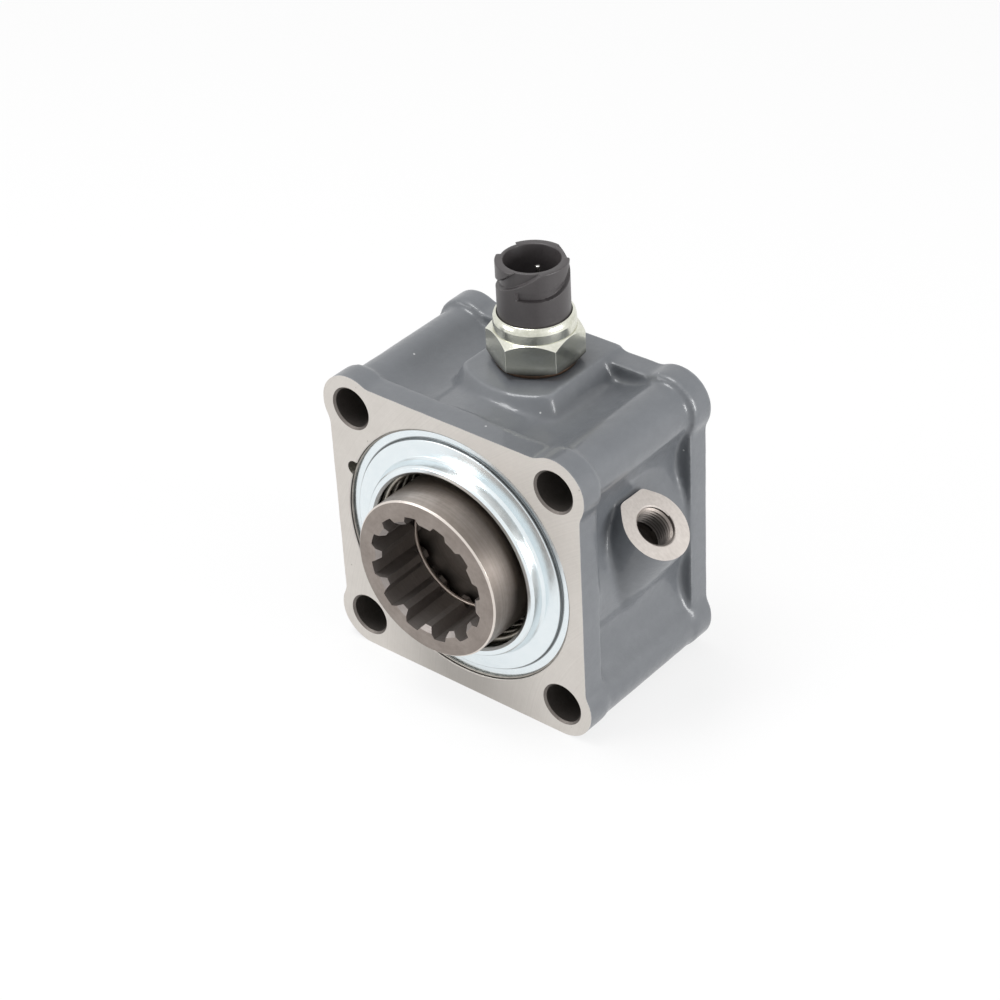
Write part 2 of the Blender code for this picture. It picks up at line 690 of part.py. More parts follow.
def make_shift_sleeve():
    r = sleeve_radius
    groove_radius = r - sleeve_ring_groove_depth
    front_groove, rear_groove = ring_grooves()
    width = sleeve_ring_width
    play = GAP / 3
    rim_y = sleeve_front_y + sleeve_face_fall
    outer = [(0, sleeve_front_y), (sleeve_face_radius, sleeve_front_y), (r - sleeve_edge_bevel, rim_y),
             (r, rim_y + sleeve_edge_bevel)]
    for groove in (front_groove, rear_groove):
        outer += [(r, groove - play), (groove_radius, groove - play),
                  (groove_radius, groove + width + play), (r, groove + width + play)]
    outer += [(r, sleeve_rear_y), (0, sleeve_rear_y)]
    sleeve = turned("shift_sleeve", outer, SLEEVE_STEPS)
    coarse = spline_outline(sleeve_tooth_count, sleeve_tooth_tip_radius, sleeve_tooth_root_radius,
                            sleeve_tooth_tip_share, sleeve_tooth_root_share, sleeve_tooth_phase)
    cut(sleeve, extruded("coarse_teeth", coarse, sleeve_front_y - OVERCUT, sleeve_teeth_end_y + OVERCUT,
                         cutters))
    fine = spline_outline(slip_tooth_count, slip_tip_radius, slip_root_radius, slip_tip_share,
                          slip_root_share, 0)
    cut(sleeve, extruded("slip_teeth", fine, sleeve_teeth_end_y, sleeve_rear_y + OVERCUT, cutters))
    slope = (sleeve_mouth_radius - sleeve_tooth_tip_radius) / sleeve_mouth_depth
    cut(sleeve, rod("tooth_mouth", (0, sleeve_front_y - OVERCUT, 0),
                    (0, sleeve_front_y + sleeve_mouth_depth, 0), sleeve_mouth_radius + slope * OVERCUT,
                    SLEEVE_STEPS, sleeve_tooth_tip_radius))
    half = stop_ring_wire / 2 + GAP / 2
    seat = sleeve_tooth_tip_radius + stop_ring_wire + 2 * GAP
    cut(sleeve, turned("stop_ring_groove", [(0, stop_ring_y - half), (seat, stop_ring_y - half),
                                            (seat, stop_ring_y + half), (0, stop_ring_y + half)],
                       SMALL_STEPS, collection=cutters))
    shade(sleeve, machined_steel, sharp_angle=25)


def make_stop_ring():
    radius = sleeve_tooth_tip_radius + GAP + stop_ring_wire / 2
    wire_ring("sleeve_stop_ring", radius, stop_ring_wire, stop_ring_y, math.radians(100), 3 * MM, 24,
              spring_steel)


def split_ring(name, inner_radius, outer_radius, front_y, width, gap_angle, gap_width, material, lugs=0):
    """Flat spring ring with a gap, and optional eyes at its ends."""
    ring = turned(name, [(inner_radius, front_y), (outer_radius, front_y), (outer_radius, front_y + width),
                         (inner_radius, front_y + width)], SMALL_STEPS)
    turn = Matrix.Rotation(-gap_angle, 4, "Y")
    if lugs:
        inward = inner_radius if lugs < 0 else outer_radius
        for side in (-1, 1):
            swing = gap_angle + side * (gap_width / 2 + abs(lugs) * 0.9) / inward
            centre = (inward * math.cos(swing), inward * math.sin(swing))
            join(ring, rod("lug", (centre[0], front_y, centre[1]), (centre[0], front_y + width, centre[1]),
                           abs(lugs), FINE_HOLE_STEPS))
    cut(ring, box("ring_gap", (0, front_y - OVERCUT, -gap_width / 2),
                  (outer_radius * 1.3, front_y + width + OVERCUT, gap_width / 2), turn))
    return shade(ring, material)


def make_sleeve_rings():
    inner = sleeve_radius - sleeve_ring_groove_depth + GAP
    for name, front in zip(("sleeve_front_ring", "sleeve_rear_ring"), ring_grooves()):
        split_ring(name, inner, sleeve_ring_radius, front, sleeve_ring_width, math.radians(30), 3 * MM,
                   spring_steel)


# Piston

def make_piston():
    """Stepped piston: outer skirt, spring ledge, inward lip and rear hub."""
    lip_rear = piston_lip_front_y + piston_lip_width
    outer = piston_radius
    seal_front = outer_seal_y - seal_width / 2
    hub_front = hub_seal_y - seal_width / 2
    profile = [
        (piston_cup_radius, piston_skirt_front_y), (outer, piston_skirt_front_y),
        (outer, seal_front), (outer - seal_depth, seal_front),
        (outer - seal_depth, seal_front + seal_width), (outer, seal_front + seal_width),
        (outer, piston_rear_y), (hub_radius, piston_rear_y),
        (hub_radius, hub_front), (hub_radius - seal_depth * 0.6, hub_front),
        (hub_radius - seal_depth * 0.6, hub_front + seal_width), (hub_radius, hub_front + seal_width),
        (hub_radius, piston_hub_end_y), (hub_inner_radius, piston_hub_end_y),
        (hub_inner_radius, lip_rear), (piston_lip_radius, lip_rear),
        (piston_lip_radius, piston_lip_front_y), (hub_inner_radius, piston_lip_front_y),
        (hub_inner_radius, spring_ledge_y), (piston_cup_radius, spring_ledge_y)]
    shade(turned("piston", profile, SMALL_STEPS), aluminium)


def make_seal(name, bore_radius, middle_y, depth):
    """Round-edged sealing ring in a groove of that depth."""
    outer = bore_radius + GAP - GAP / 3
    inner = bore_radius - depth + GAP / 2
    half = seal_width / 2 - GAP / 2
    edge = 0.6 * MM
    profile = [(inner, middle_y - half), (outer - edge, middle_y - half), (outer, middle_y),
               (outer - edge, middle_y + half), (inner, middle_y + half)]
    shade(turned(name, profile, SMALL_STEPS), rubber)


# Output shaft and bearing

def make_output_shaft():
    teeth = spline_outline(slip_tooth_count, slip_tip_radius - GAP, slip_root_radius - GAP,
                           slip_tip_share + slip_play_share, slip_root_share + slip_play_share * 0.75, 0)
    shaft = extruded("output_shaft", teeth, shaft_front_y, shaft_collar_front_y + OVERCUT)
    collar = shaft_collar_front_y
    seat = bearing_front_y - GAP
    groove_front = bearing_rear_y + GAP / 2
    groove_rear = groove_front + shaft_circlip_width + GAP
    groove = bearing_bore_radius - shaft_circlip_groove
    rear = [(0, collar), (shaft_collar_radius, collar), (shaft_collar_radius, seat),
            (bearing_bore_radius, seat), (bearing_bore_radius, groove_front), (groove, groove_front),
            (groove, groove_rear), (bearing_bore_radius, groove_rear),
            (bearing_bore_radius, shaft_rear_y - 0.8 * MM), (bearing_bore_radius - 0.8 * MM, shaft_rear_y),
            (0, shaft_rear_y)]
    join(shaft, turned("shaft_rear", rear, SMALL_STEPS, collection=cutters))
    cut(shaft, rod("oil_hole", (0, shaft_front_y - OVERCUT, 0), (0, shaft_rear_y + OVERCUT, 0),
                   oil_hole_radius, HOLE_STEPS))
    cut(shaft, extruded("pump_spline", pump_spline_outline(), shaft_rear_y - pump_spline_length,
                        shaft_rear_y + OVERCUT, cutters))
    shade(shaft, machined_steel, sharp_angle=25)


def pump_spline_outline():
    """Bore for a shaft with straight-sided keys."""
    points = []
    pitch = 2 * math.pi / pump_key_count
    outer_half = math.asin(pump_key_width / 2 / pump_spline_major_radius)
    inner_half = math.asin(pump_key_mouth / 2 / pump_spline_minor_radius)
    for key in range(pump_key_count):
        middle = key * pitch
        points += arc((0, 0), pump_spline_major_radius, middle - outer_half, middle + outer_half, 1)
        points += arc((0, 0), pump_spline_minor_radius, middle + inner_half, middle + pitch - inner_half, 2)
    return points


def race_groove(centre_radius, side):
    """Points of a ball groove in a race, from front to rear."""
    radius = ball_radius + ball_play
    middle = (bearing_front_y + bearing_rear_y) / 2
    reach = math.acos((bearing_pitch_radius - centre_radius) * side / radius)
    steps = 4
    angles = [reach - 2 * reach * i / steps for i in range(steps + 1)]
    return [(bearing_pitch_radius - side * radius * math.cos(a), middle - radius * math.sin(a))
            for a in angles]


def make_bearing():
    inner_shoulder = bearing_pitch_radius - race_shoulder
    outer_shoulder = bearing_pitch_radius + race_shoulder
    bore = bearing_bore_radius + GAP
    outside = bearing_outer_radius - GAP
    front, rear = bearing_front_y, bearing_rear_y
    inner = [(bore, rear), (bore, front), (inner_shoulder, front)]
    inner += race_groove(inner_shoulder, 1) + [(inner_shoulder, rear)]
    shade(turned("bearing_inner_race", inner, BEARING_STEPS), bearing_steel)
    outer = [(outside, rear), (outside, front), (outer_shoulder, front)]
    outer += race_groove(outer_shoulder, -1) + [(outer_shoulder, rear)]
    shade(turned("bearing_outer_race", outer, BEARING_STEPS), bearing_steel)
    middle = (front + rear) / 2
    centres = [arc((0, 0), bearing_pitch_radius, angle, angle, 1)[0]
               for angle in (2 * math.pi * i / ball_count for i in range(ball_count))]
    half_band = cage_thickness / 2
    half_width = bearing_width / 2 - GAP
    cage = turned("bearing_cage", [(bearing_pitch_radius - half_band, middle - half_width),
                                   (bearing_pitch_radius + half_band, middle - half_width),
                                   (bearing_pitch_radius + half_band, middle + half_width),
                                   (bearing_pitch_radius - half_band, middle + half_width)], BEARING_STEPS)
    for i, (x, z) in enumerate(centres):
        out = Vector((x, 0, z)).normalized() * half_band * 4
        centre = Vector((x, middle, z))
        cut(cage, rod("pocket", centre - out, centre + out, ball_radius + cage_play, 8))
        make_ball("bearing_ball_%d" % (i + 1), centre)
    shade(cage, pressed_steel)


def make_ball(name, centre):
    skin = bmesh.new()
    bmesh.ops.create_uvsphere(skin, u_segments=8, v_segments=5, radius=ball_radius)
    mesh = bpy.data.meshes.new(name)
    skin.to_mesh(mesh)
    skin.free()
    shade(add_mesh_object(name, mesh, UPRIGHT, centre, parts), bearing_steel)


def make_circlips():
    outer = bearing_outer_radius + housing_circlip_groove - GAP
    split_ring("bearing_circlip", bearing_outer_radius - circlip_reach, outer, circlip_front_y,
               housing_circlip_width, math.radians(90), 9 * MM, black_steel, lugs=-2.6 * MM)
    inner = bearing_bore_radius - shaft_circlip_groove + GAP
    split_ring("shaft_circlip", inner, bearing_bore_radius + circlip_reach - 1 * MM, bearing_rear_y + GAP,
               shaft_circlip_width, math.radians(-90), 7 * MM, black_steel)


# Switch

def hexagon_body():
    """Hexagon with chamfered corners, threaded shank below and crimped collar above."""
    corner = hexagon_width / math.sqrt(3)
    skin = bmesh.new()
    bmesh.ops.create_cone(skin, cap_ends=True, segments=6, radius1=corner, radius2=corner,
                          depth=hexagon_height)
    mesh = bpy.data.meshes.new("switch_body")
    skin.to_mesh(mesh)
    skin.free()
    turn = Matrix.Rotation(hexagon_turn, 4, "Z")
    middle = (0, switch_axis_y, hexagon_base + hexagon_height / 2)
    body = add_mesh_object("switch_body", mesh, turn, middle, parts)
    flat = hexagon_width / 2
    start = flat - hexagon_chamfer_start
    fall = hexagon_chamfer * (corner - start) / (corner - flat)
    envelope = [(0, hexagon_base), (start, hexagon_base), (corner, hexagon_base + fall),
                (corner, collar_base - fall), (start, collar_base), (0, collar_base)]
    chamfers = turned("chamfer", envelope, SMALL_STEPS, UPRIGHT, (0, switch_axis_y, 0), cutters)
    combine(body, chamfers, "INTERSECT")
    bend = collar_height - collar_wall_height
    reach = collar_radius - connector_radius - 2 * GAP
    crimp = [(0, collar_base - 1 * MM), (collar_radius, collar_base - 1 * MM),
             (collar_radius, collar_base + collar_wall_height),
             (collar_radius - reach * 0.25, collar_base + collar_wall_height + bend * 0.45),
             (collar_radius - reach * 0.6, collar_base + collar_wall_height + bend * 0.8),
             (collar_radius - reach, collar_top), (0, collar_top)]
    join(body, turned("crimp", crimp, SMALL_STEPS, UPRIGHT, (0, switch_axis_y, 0), cutters))
    end = hexagon_base - washer_thickness - 2 * GAP - shank_length + GAP
    shank = [(0, end), (shank_radius - 1 * MM, end), (shank_radius, end + 1 * MM),
             (shank_radius, hexagon_base + 1 * MM), (0, hexagon_base + 1 * MM)]
    join(body, turned("shank", shank, SMALL_STEPS, UPRIGHT, (0, switch_axis_y, 0), cutters))
    cut(body, rod("inlet", (0, switch_axis_y, end - OVERCUT), (0, switch_axis_y, end + 5 * MM),
                  air_passage_radius - 0.5 * MM, FINE_HOLE_STEPS))
    return body


def make_switch_body():
    body = hexagon_body()
    cut(body, rod("socket", (0, switch_axis_y, connector_foot - GAP),
                  (0, switch_axis_y, collar_top + OVERCUT), connector_radius + GAP))
    shade(body, yellow_zinc, sharp_angle=20)


def make_switch_washer():
    low = pad_top + GAP
    profile = [(shank_radius + GAP, low), (washer_radius, low), (washer_radius, low + washer_thickness),
               (shank_radius + GAP, low + washer_thickness)]
    shade(turned("switch_washer", profile, 24, UPRIGHT, (0, switch_axis_y, 0)), copper)


def connector_groove(turn):
    """Bayonet groove, as a curved block: open at the rim, it winds down to a closed end."""
    mouth = [88, 78, 68, 58, 47, 36.5]
    under_rim = [35.5, 28, 20, 12, 4, -8, -22, -36, -50, -64, -78]
    base = Vector((0, switch_axis_y, 0))
    outer = connector_radius + OVERCUT
    sections = []
    for degrees in mouth + under_rim:
        share = min(1, (84 - degrees) / 125)
        low = groove_depth * math.sin(share * math.pi / 2)
        high = low - groove_width - groove_lead_in * max(0, (degrees - 5) / 30)
        if degrees in mouth:
            high = -OVERCUT
        angle = math.radians(degrees) + turn
        out = Vector((math.cos(angle), math.sin(angle), 0))
        floor = Vector((0, 0, rim_height - low))
        roof = Vector((0, 0, rim_height - high))
        sections.append([base + out * connector_core_radius + floor, base + out * outer + floor,
                         base + out * outer + roof, base + out * connector_core_radius + roof])
    return lofted("groove", sections, cutters)


def make_switch_connector():
    """Round plastic socket with three bayonet grooves that open at the rim."""
    floor = rim_height - cavity_depth
    edge = 0.4 * MM
    profile = [(0, connector_foot), (connector_radius, connector_foot), (connector_radius, rim_height - edge),
               (connector_radius - edge, rim_height), (0, rim_height)]
    connector = turned("switch_connector", profile, SLEEVE_STEPS, UPRIGHT, (0, switch_axis_y, 0))
    for groove in range(connector_groove_count):
        cut(connector, connector_groove(groove * 2 * math.pi / connector_groove_count))
    cut(connector, rod("cavity", (0, switch_axis_y, floor), (0, switch_axis_y, rim_height + OVERCUT),
                       cavity_radius))
    for side in (-1, 1):
        x, y = pin_offset * side
        cut(connector, rod("pin_hole", (x, switch_axis_y + y, floor - pin_root),
                           (x, switch_axis_y + y, floor + OVERCUT), pin_radius + GAP, FINE_HOLE_STEPS))
    shade(connector, black_plastic, sharp_angle=30)


def make_switch_pins():
    floor = rim_height - cavity_depth
    for number, side in ((1, 1), (2, -1)):
        x, y = pin_offset * side
        low = floor - pin_root + GAP
        high = floor + pin_height
        point = pin_radius / 2
        profile = [(0, low), (pin_radius, low), (pin_radius, high - point), (point, high), (0, high)]
        pin = turned("switch_pin_%d" % number, profile, FINE_HOLE_STEPS, UPRIGHT, (x, switch_axis_y + y, 0))
        shade(pin, tinned)


make_housing()
make_retainer()
make_snap_ring()
make_return_spring()
make_shift_sleeve()
make_stop_ring()
make_sleeve_rings()
make_piston()
make_seal("piston_outer_seal", piston_radius, outer_seal_y, seal_depth)
make_seal("piston_hub_seal", hub_radius, hub_seal_y, seal_depth * 0.6)
make_output_shaft()
make_bearing()
make_circlips()
make_switch_body()
make_switch_washer()
make_switch_connector()
make_switch_pins()
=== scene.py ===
"""Looks of a power take off unit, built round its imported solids.

Lengths are in metres. X points to the air port, Y from the gearbox face to the pump face and Z up.
"""
import math

import bmesh
import bpy
from mathutils import Matrix, Vector


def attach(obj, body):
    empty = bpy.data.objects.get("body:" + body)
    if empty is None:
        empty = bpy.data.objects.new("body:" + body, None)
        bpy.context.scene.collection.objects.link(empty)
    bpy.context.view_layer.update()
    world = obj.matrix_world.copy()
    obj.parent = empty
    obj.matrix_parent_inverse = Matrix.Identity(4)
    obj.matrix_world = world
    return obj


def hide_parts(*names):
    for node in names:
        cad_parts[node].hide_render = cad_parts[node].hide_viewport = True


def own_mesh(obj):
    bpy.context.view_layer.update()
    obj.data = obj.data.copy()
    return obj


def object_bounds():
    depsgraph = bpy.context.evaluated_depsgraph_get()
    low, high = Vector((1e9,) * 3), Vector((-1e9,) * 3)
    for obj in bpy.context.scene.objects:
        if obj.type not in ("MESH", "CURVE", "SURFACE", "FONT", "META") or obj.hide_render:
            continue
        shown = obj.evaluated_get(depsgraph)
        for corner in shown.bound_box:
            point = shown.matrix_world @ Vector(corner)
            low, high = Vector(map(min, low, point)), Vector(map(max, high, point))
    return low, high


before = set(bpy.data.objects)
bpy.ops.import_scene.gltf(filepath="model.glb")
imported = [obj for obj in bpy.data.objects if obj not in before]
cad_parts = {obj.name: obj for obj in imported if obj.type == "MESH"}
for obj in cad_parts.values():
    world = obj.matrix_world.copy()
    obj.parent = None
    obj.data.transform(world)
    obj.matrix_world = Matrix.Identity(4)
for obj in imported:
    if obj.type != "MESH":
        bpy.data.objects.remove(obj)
cad_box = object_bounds()


# Housing
# One iron casting: two square flanges with a boss at each bolt, a barrel and four columns between them,
# a pad for the switch and a slanted boss for the air line. It is sprayed grey, then milled and bored.

MM = 0.001
shaft_z = 47 * MM
shaft_centre = Vector((0, 0, shaft_z))
ON_SHAFT = Matrix.Translation(shaft_centre) @ Matrix.Rotation(math.radians(-90), 4, "X")

housing_depth = 64 * MM
bolt_offset = 40 * MM
flange_half_width = 49.4 * MM
flange_boss_radius = 11.5 * MM
front_flange_thickness = 9.3 * MM
rear_flange_front_y = 56 * MM
flange_fillet = 3 * MM
column_radius = 9.3 * MM
lower_column_radius = 11 * MM
barrel_radius = 47.9 * MM
valley_radius = 20 * MM
mill_allowance = 3 * MM
body_overrun = 1 * MM


def arc(centre, radius, start, end, steps):
    angles = [start + (end - start) * i / steps for i in range(steps + 1)]
    return [(centre[0] + radius * math.cos(a), centre[1] + radius * math.sin(a)) for a in angles]


def turned_quarter(quarter, turn):
    """Turn the points of the first quarter round the shaft axis by that many right angles."""
    c = round(math.cos(turn * math.pi / 2))
    s = round(math.sin(turn * math.pi / 2))
    return [(x * c - z * s, x * s + z * c) for x, z in quarter]


def flange_outline():
    """Square with a round boss at each bolt hole, and a straight lower side that the unit stands on."""
    level = flange_half_width + flange_fillet - bolt_offset
    reach = flange_boss_radius + flange_fillet
    back = math.sqrt(reach ** 2 - level ** 2)
    centre = (bolt_offset - back, flange_half_width + flange_fillet)
    boss_start = math.atan2(level, -back)
    before = arc((centre[1], centre[0]), flange_fillet, math.pi, 3 * math.pi / 2 - boss_start, 6)[:-1]
    after = arc(centre, flange_fillet, boss_start - math.pi, -math.pi / 2, 6)[1:]
    bolt = (bolt_offset, bolt_offset)
    upper_boss = arc(bolt, flange_boss_radius, math.pi / 2 - boss_start, boss_start, 40)
    left_boss = arc(bolt, flange_boss_radius, math.pi / 2 - boss_start, math.pi / 2, 24)
    right_boss = arc(bolt, flange_boss_radius, 0, boss_start, 24)
    upper = before + upper_boss + after
    return (turned_quarter(upper, 0) + turned_quarter(upper, 1) + turned_quarter(before + left_boss, 2)
            + turned_quarter(right_boss + after, 3))


def body_quarter(column):
    """One quarter of the body: half the barrel's arcs, two valleys and the bolt column between them."""
    diagonal = bolt_offset * math.sqrt(2)
    to_barrel = barrel_radius + valley_radius
    to_column = column + valley_radius
    along = (to_barrel ** 2 - to_column ** 2 + diagonal ** 2) / (2 * diagonal)
    across = math.sqrt(to_barrel ** 2 - along ** 2)
    centre = ((along + across) / math.sqrt(2), (along - across) / math.sqrt(2))
    low = math.atan2(centre[1], centre[0])
    column_start = math.atan2(centre[1] - bolt_offset, centre[0] - bolt_offset)
    barrel = arc((0, 0), barrel_radius, 0, low, 8)
    valley = arc(centre, valley_radius, low + math.pi, column_start + math.pi, 12)
    crown = arc((bolt_offset, bolt_offset), column, column_start, math.pi / 2 - column_start, 30)
    mirrored = [(z, x) for x, z in reversed(barrel[1:] + valley[1:-1])]
    return barrel + valley[1:-1] + crown + mirrored


def body_outline():
    """Barrel round the bores and four bolt columns, joined by valleys."""
    upper = body_quarter(column_radius)
    lower = body_quarter(lower_column_radius)
    return [point for turn, quarter in enumerate((upper, upper, lower, lower))
            for point in turned_quarter(quarter, turn)]


def add_loft(builder, sections):
    """Skin closed sections of equal point counts and cap both ends."""
    rings = [[builder.verts.new(point) for point in section] for section in sections]
    faces = []
    for low, high in zip(rings, rings[1:]):
        for i in range(len(low)):
            j = (i + 1) % len(low)
            faces.append(builder.faces.new((low[i], low[j], high[j], high[i])))
    faces.append(builder.faces.new(list(reversed(rings[0]))))
    faces.append(builder.faces.new(rings[-1]))
    bmesh.ops.recalc_face_normals(builder, faces=faces)


def add_prism(builder, outline, front_y, back_y):
    add_loft(builder, [[(x, y, shaft_z + z) for x, z in outline] for y in (front_y, back_y)])


def link_object(name, data):
    thing = bpy.data.objects.new(name, data)
    bpy.context.scene.collection.objects.link(thing)
    return thing


def new_object(name, builder):
    mesh = bpy.data.meshes.new(name)
    builder.to_mesh(mesh)
    builder.free()
    return link_object(name, mesh)


def apply_modifiers(thing):
    bpy.context.view_layer.update()
    evaluated = thing.evaluated_get(bpy.context.evaluated_depsgraph_get())
    mesh = bpy.data.meshes.new_from_object(evaluated)
    thing.modifiers.clear()
    thing.data = mesh


pad_top = 50.8 * MM
pad_foot = 41 * MM
pad_half_width = 17.1 * MM
pad_foot_spread = 5 * MM
pad_front_radius = 25 * MM
pad_front_y = 21.5 * MM
pad_front_spread = 8.3 * MM


def pad_section(height, half_width, front_y):
    """Plan of the switch pad: flat sides and a front edge that bows forward."""
    swing = math.asin(half_width / pad_front_radius)
    centre = (0, front_y + pad_front_radius)
    front = arc(centre, pad_front_radius, -math.pi / 2 - swing, -math.pi / 2 + swing, 30)
    back_y = housing_depth + mill_allowance
    plan = front + [(half_width, back_y), (-half_width, back_y)]
    return [(x, y, shaft_z + height) for x, y in plan]


port_tilt = math.radians(51.8)
port_face = Vector((55.5 * MM, 29.6 * MM, shaft_z + 17.3 * MM))
port_normal = Vector((math.cos(port_tilt), 0, math.sin(port_tilt)))
port_upward = Vector((-math.sin(port_tilt), 0, math.cos(port_tilt)))
port_boss_radius = 11.6 * MM
port_boss_spread = 2 * MM
port_boss_length = 36 * MM
port_shoulder_height = 11.6 * MM
port_shoulder_half_width = 5.4 * MM
ON_PORT = Matrix.Translation(port_face) @ Matrix(
    ((0, port_upward.x, port_normal.x, 0), (1, port_upward.y, port_normal.y, 0),
     (0, port_upward.z, port_normal.z, 0), (0, 0, 0, 1)))


def port_section(depth, spread):
    """Section of the port boss: a round wall with two shoulders on its upper side."""
    radius = port_boss_radius + spread
    corner = Vector((port_shoulder_half_width + spread, port_shoulder_height + spread))
    start = math.atan2(corner.y, corner.x) - math.acos(radius / corner.length)
    plan = arc((0, 0), radius, math.pi - start, 2 * math.pi + start, 60)
    plan += [(corner.x, corner.y), (-corner.x, corner.y)]
    return [ON_PORT @ Vector((across, up, -depth)) for across, up in plan]


cast = bmesh.new()
add_prism(cast, body_outline(), -body_overrun, housing_depth + body_overrun)
add_prism(cast, flange_outline(), -mill_allowance, front_flange_thickness)
add_prism(cast, flange_outline(), rear_flange_front_y, housing_depth + mill_allowance)
add_loft(cast, [pad_section(pad_foot, pad_half_width + pad_foot_spread, pad_front_y - pad_front_spread),
                pad_section(pad_top, pad_half_width, pad_front_y)])
add_loft(cast, [port_section(port_boss_length, port_boss_spread), port_section(-mill_allowance, 0)])
casting = new_object("cast_housing", cast)

sand_grain = casting.modifiers.new("voxels", "REMESH")
sand_grain.mode = "VOXEL"
sand_grain.voxel_size = 0.85 * MM
soften = casting.modifiers.new("cast_fillets", "SMOOTH")
soften.factor = 0.5
soften.iterations = 9
ripple = bpy.data.textures.new("mould_ripple", "CLOUDS")
ripple.noise_scale = 9 * MM
ripple.noise_depth = 3
uneven = casting.modifiers.new("mould_ripple", "DISPLACE")
uneven.texture = ripple
uneven.texture_coords = "LOCAL"
uneven.strength = 0.25 * MM
uneven.mid_level = 0.5
apply_modifiers(casting)


def around(radius, angle, height):
    """Point at that radius and angle round an upright axis."""
    return Vector((radius * math.cos(angle), radius * math.sin(angle), height))


def round_shaft(radius, angle, y):
    """Point at that radius and angle round the shaft's axis."""
    return Vector((radius * math.cos(angle), y, shaft_z + radius * math.sin(angle)))


def in_metres(points):
    return [(r * MM, h * MM) for r, h in points]


def lathe(name, profile, steps, place):
    """Closed body from a line of (radius, height) points, turned about the height axis of place."""
    turned = bmesh.new()
    rings = []
    for radius, height in profile:
        points = steps if radius else 1
        rings.append([turned.verts.new(place @ around(radius, 2 * math.pi * i / steps, height))
                      for i in range(points)])
    pairs = list(zip(rings, rings[1:]))
    if len(rings[0]) > 1:
        pairs.append((rings[-1], rings[0]))
    for low, high in pairs:
        for i in range(steps):
            j = (i + 1) % steps
            corners = [low[i % len(low)], low[j % len(low)], high[j % len(high)], high[i % len(high)]]
            turned.faces.new(list(dict.fromkeys(corners)))
    bmesh.ops.recalc_face_normals(turned, faces=turned.faces)
    return new_object(name, turned)


def rounded(points, radius, steps=4):
    """Replace the inner corners of an open line by arcs of that radius, or less where a side is short."""
    nearly_straight = math.radians(172)
    share_of_side = 0.45
    line = [points[0]]
    for before, corner, after in zip(points, points[1:], points[2:]):
        a, b, c = Vector(before), Vector(corner), Vector(after)
        into, out = (a - b), (c - b)
        angle = into.angle(out)
        if angle > nearly_straight:
            line.append(corner)
            continue
        setback = min(radius / math.tan(angle / 2), into.length * share_of_side, out.length * share_of_side)
        start, end = b + into.normalized() * setback, b + out.normalized() * setback
        for i in range(steps + 1):
            t = i / steps
            line.append(tuple(start * (1 - t) ** 2 + b * 2 * t * (1 - t) + end * t ** 2))
    line.append(points[-1])
    return line


def carve(thing, tools, operation="DIFFERENCE", solver="MANIFOLD"):
    """Cut the tools out of a piece, or keep what they share with it, and remove them."""
    for tool in tools:
        cut = thing.modifiers.new("carve", "BOOLEAN")
        cut.operation = operation
        cut.solver = solver
        cut.object = tool
    apply_modifiers(thing)
    for tool in tools:
        bpy.data.objects.remove(tool, do_unlink=True)


def block(name, low, high):
    cube = bmesh.new()
    size = Vector(high) - Vector(low)
    middle = (Vector(high) + Vector(low)) / 2
    bmesh.ops.create_cube(cube, size=1, matrix=Matrix.Translation(middle) @ Matrix.Diagonal((*size, 1)))
    return new_object(name, cube)


def facing(point, direction):
    """Place at a point, with the height axis along the direction."""
    return Matrix.Translation(point) @ direction.to_track_quat("Z", "Y").to_matrix().to_4x4()


def drill(name, start, end, radius, steps=48):
    """Plain round cutter between two points."""
    way = Vector(end) - Vector(start)
    line = [(0, 0), (radius, 0), (radius, way.length), (0, way.length)]
    return lathe(name, line, steps, facing(start, way))


far = 4 * MM
front_bore_radius = 44.3 * MM
bore_edge = 0.25 * MM
pilot_radius = 40 * MM
pilot_edge = 0.5 * MM

# Radius and rear end of each step: the front bore with the snap ring's groove, the chamber, the web, the
# bearing's seat with the circlip's groove, and the pilot.
bore_steps = in_metres([(44.3, 0.3), (44.7, 1.95), (44.3, 3.9), (41, 28), (33.2, 41), (37.5, 51.45),
                        (39, 54.25), (37.5, 55)]) + [(pilot_radius, housing_depth - pilot_edge)]
bores = [(0, -far), (front_bore_radius + bore_edge + far, -far)]
step_front_y = bore_edge
for radius, rear_y in bore_steps:
    bores += [(radius, step_front_y), (radius, rear_y)]
    step_front_y = rear_y
bores += [(pilot_radius + pilot_edge + far, housing_depth + far), (0, housing_depth + far)]
wide = 80 * MM
mill_depth = 40 * MM
port_mill_play = 0.9 * MM
port_mill = bmesh.new()
add_loft(port_mill, [port_section(depth, port_mill_play) for depth in (0, -7 * MM)])
cutters = [block("front_mill", (-wide, -mill_depth, -wide), (wide, 0, wide * 2)),
           block("rear_mill", (-wide, housing_depth, -wide), (wide, housing_depth + mill_depth, wide * 2)),
           new_object("port_mill", port_mill),
           lathe("bores", bores, 192, ON_SHAFT)]

bolt_hole_radius = 6.75 * MM
bolt_hole_chamfer = 0.7 * MM
bolt_drill_radius = bolt_hole_radius + bolt_hole_chamfer + far
bolt_drill = [(0, -far), (bolt_drill_radius, -far), (bolt_hole_radius, bolt_hole_chamfer),
              (bolt_hole_radius, housing_depth - bolt_hole_chamfer), (bolt_drill_radius, housing_depth + far),
              (0, housing_depth + far)]
for x in (-bolt_offset, bolt_offset):
    for z in (-bolt_offset, bolt_offset):
        cutters.append(lathe("bolt_drill", bolt_drill, 64, Matrix.Translation((x, 0, z)) @ ON_SHAFT))

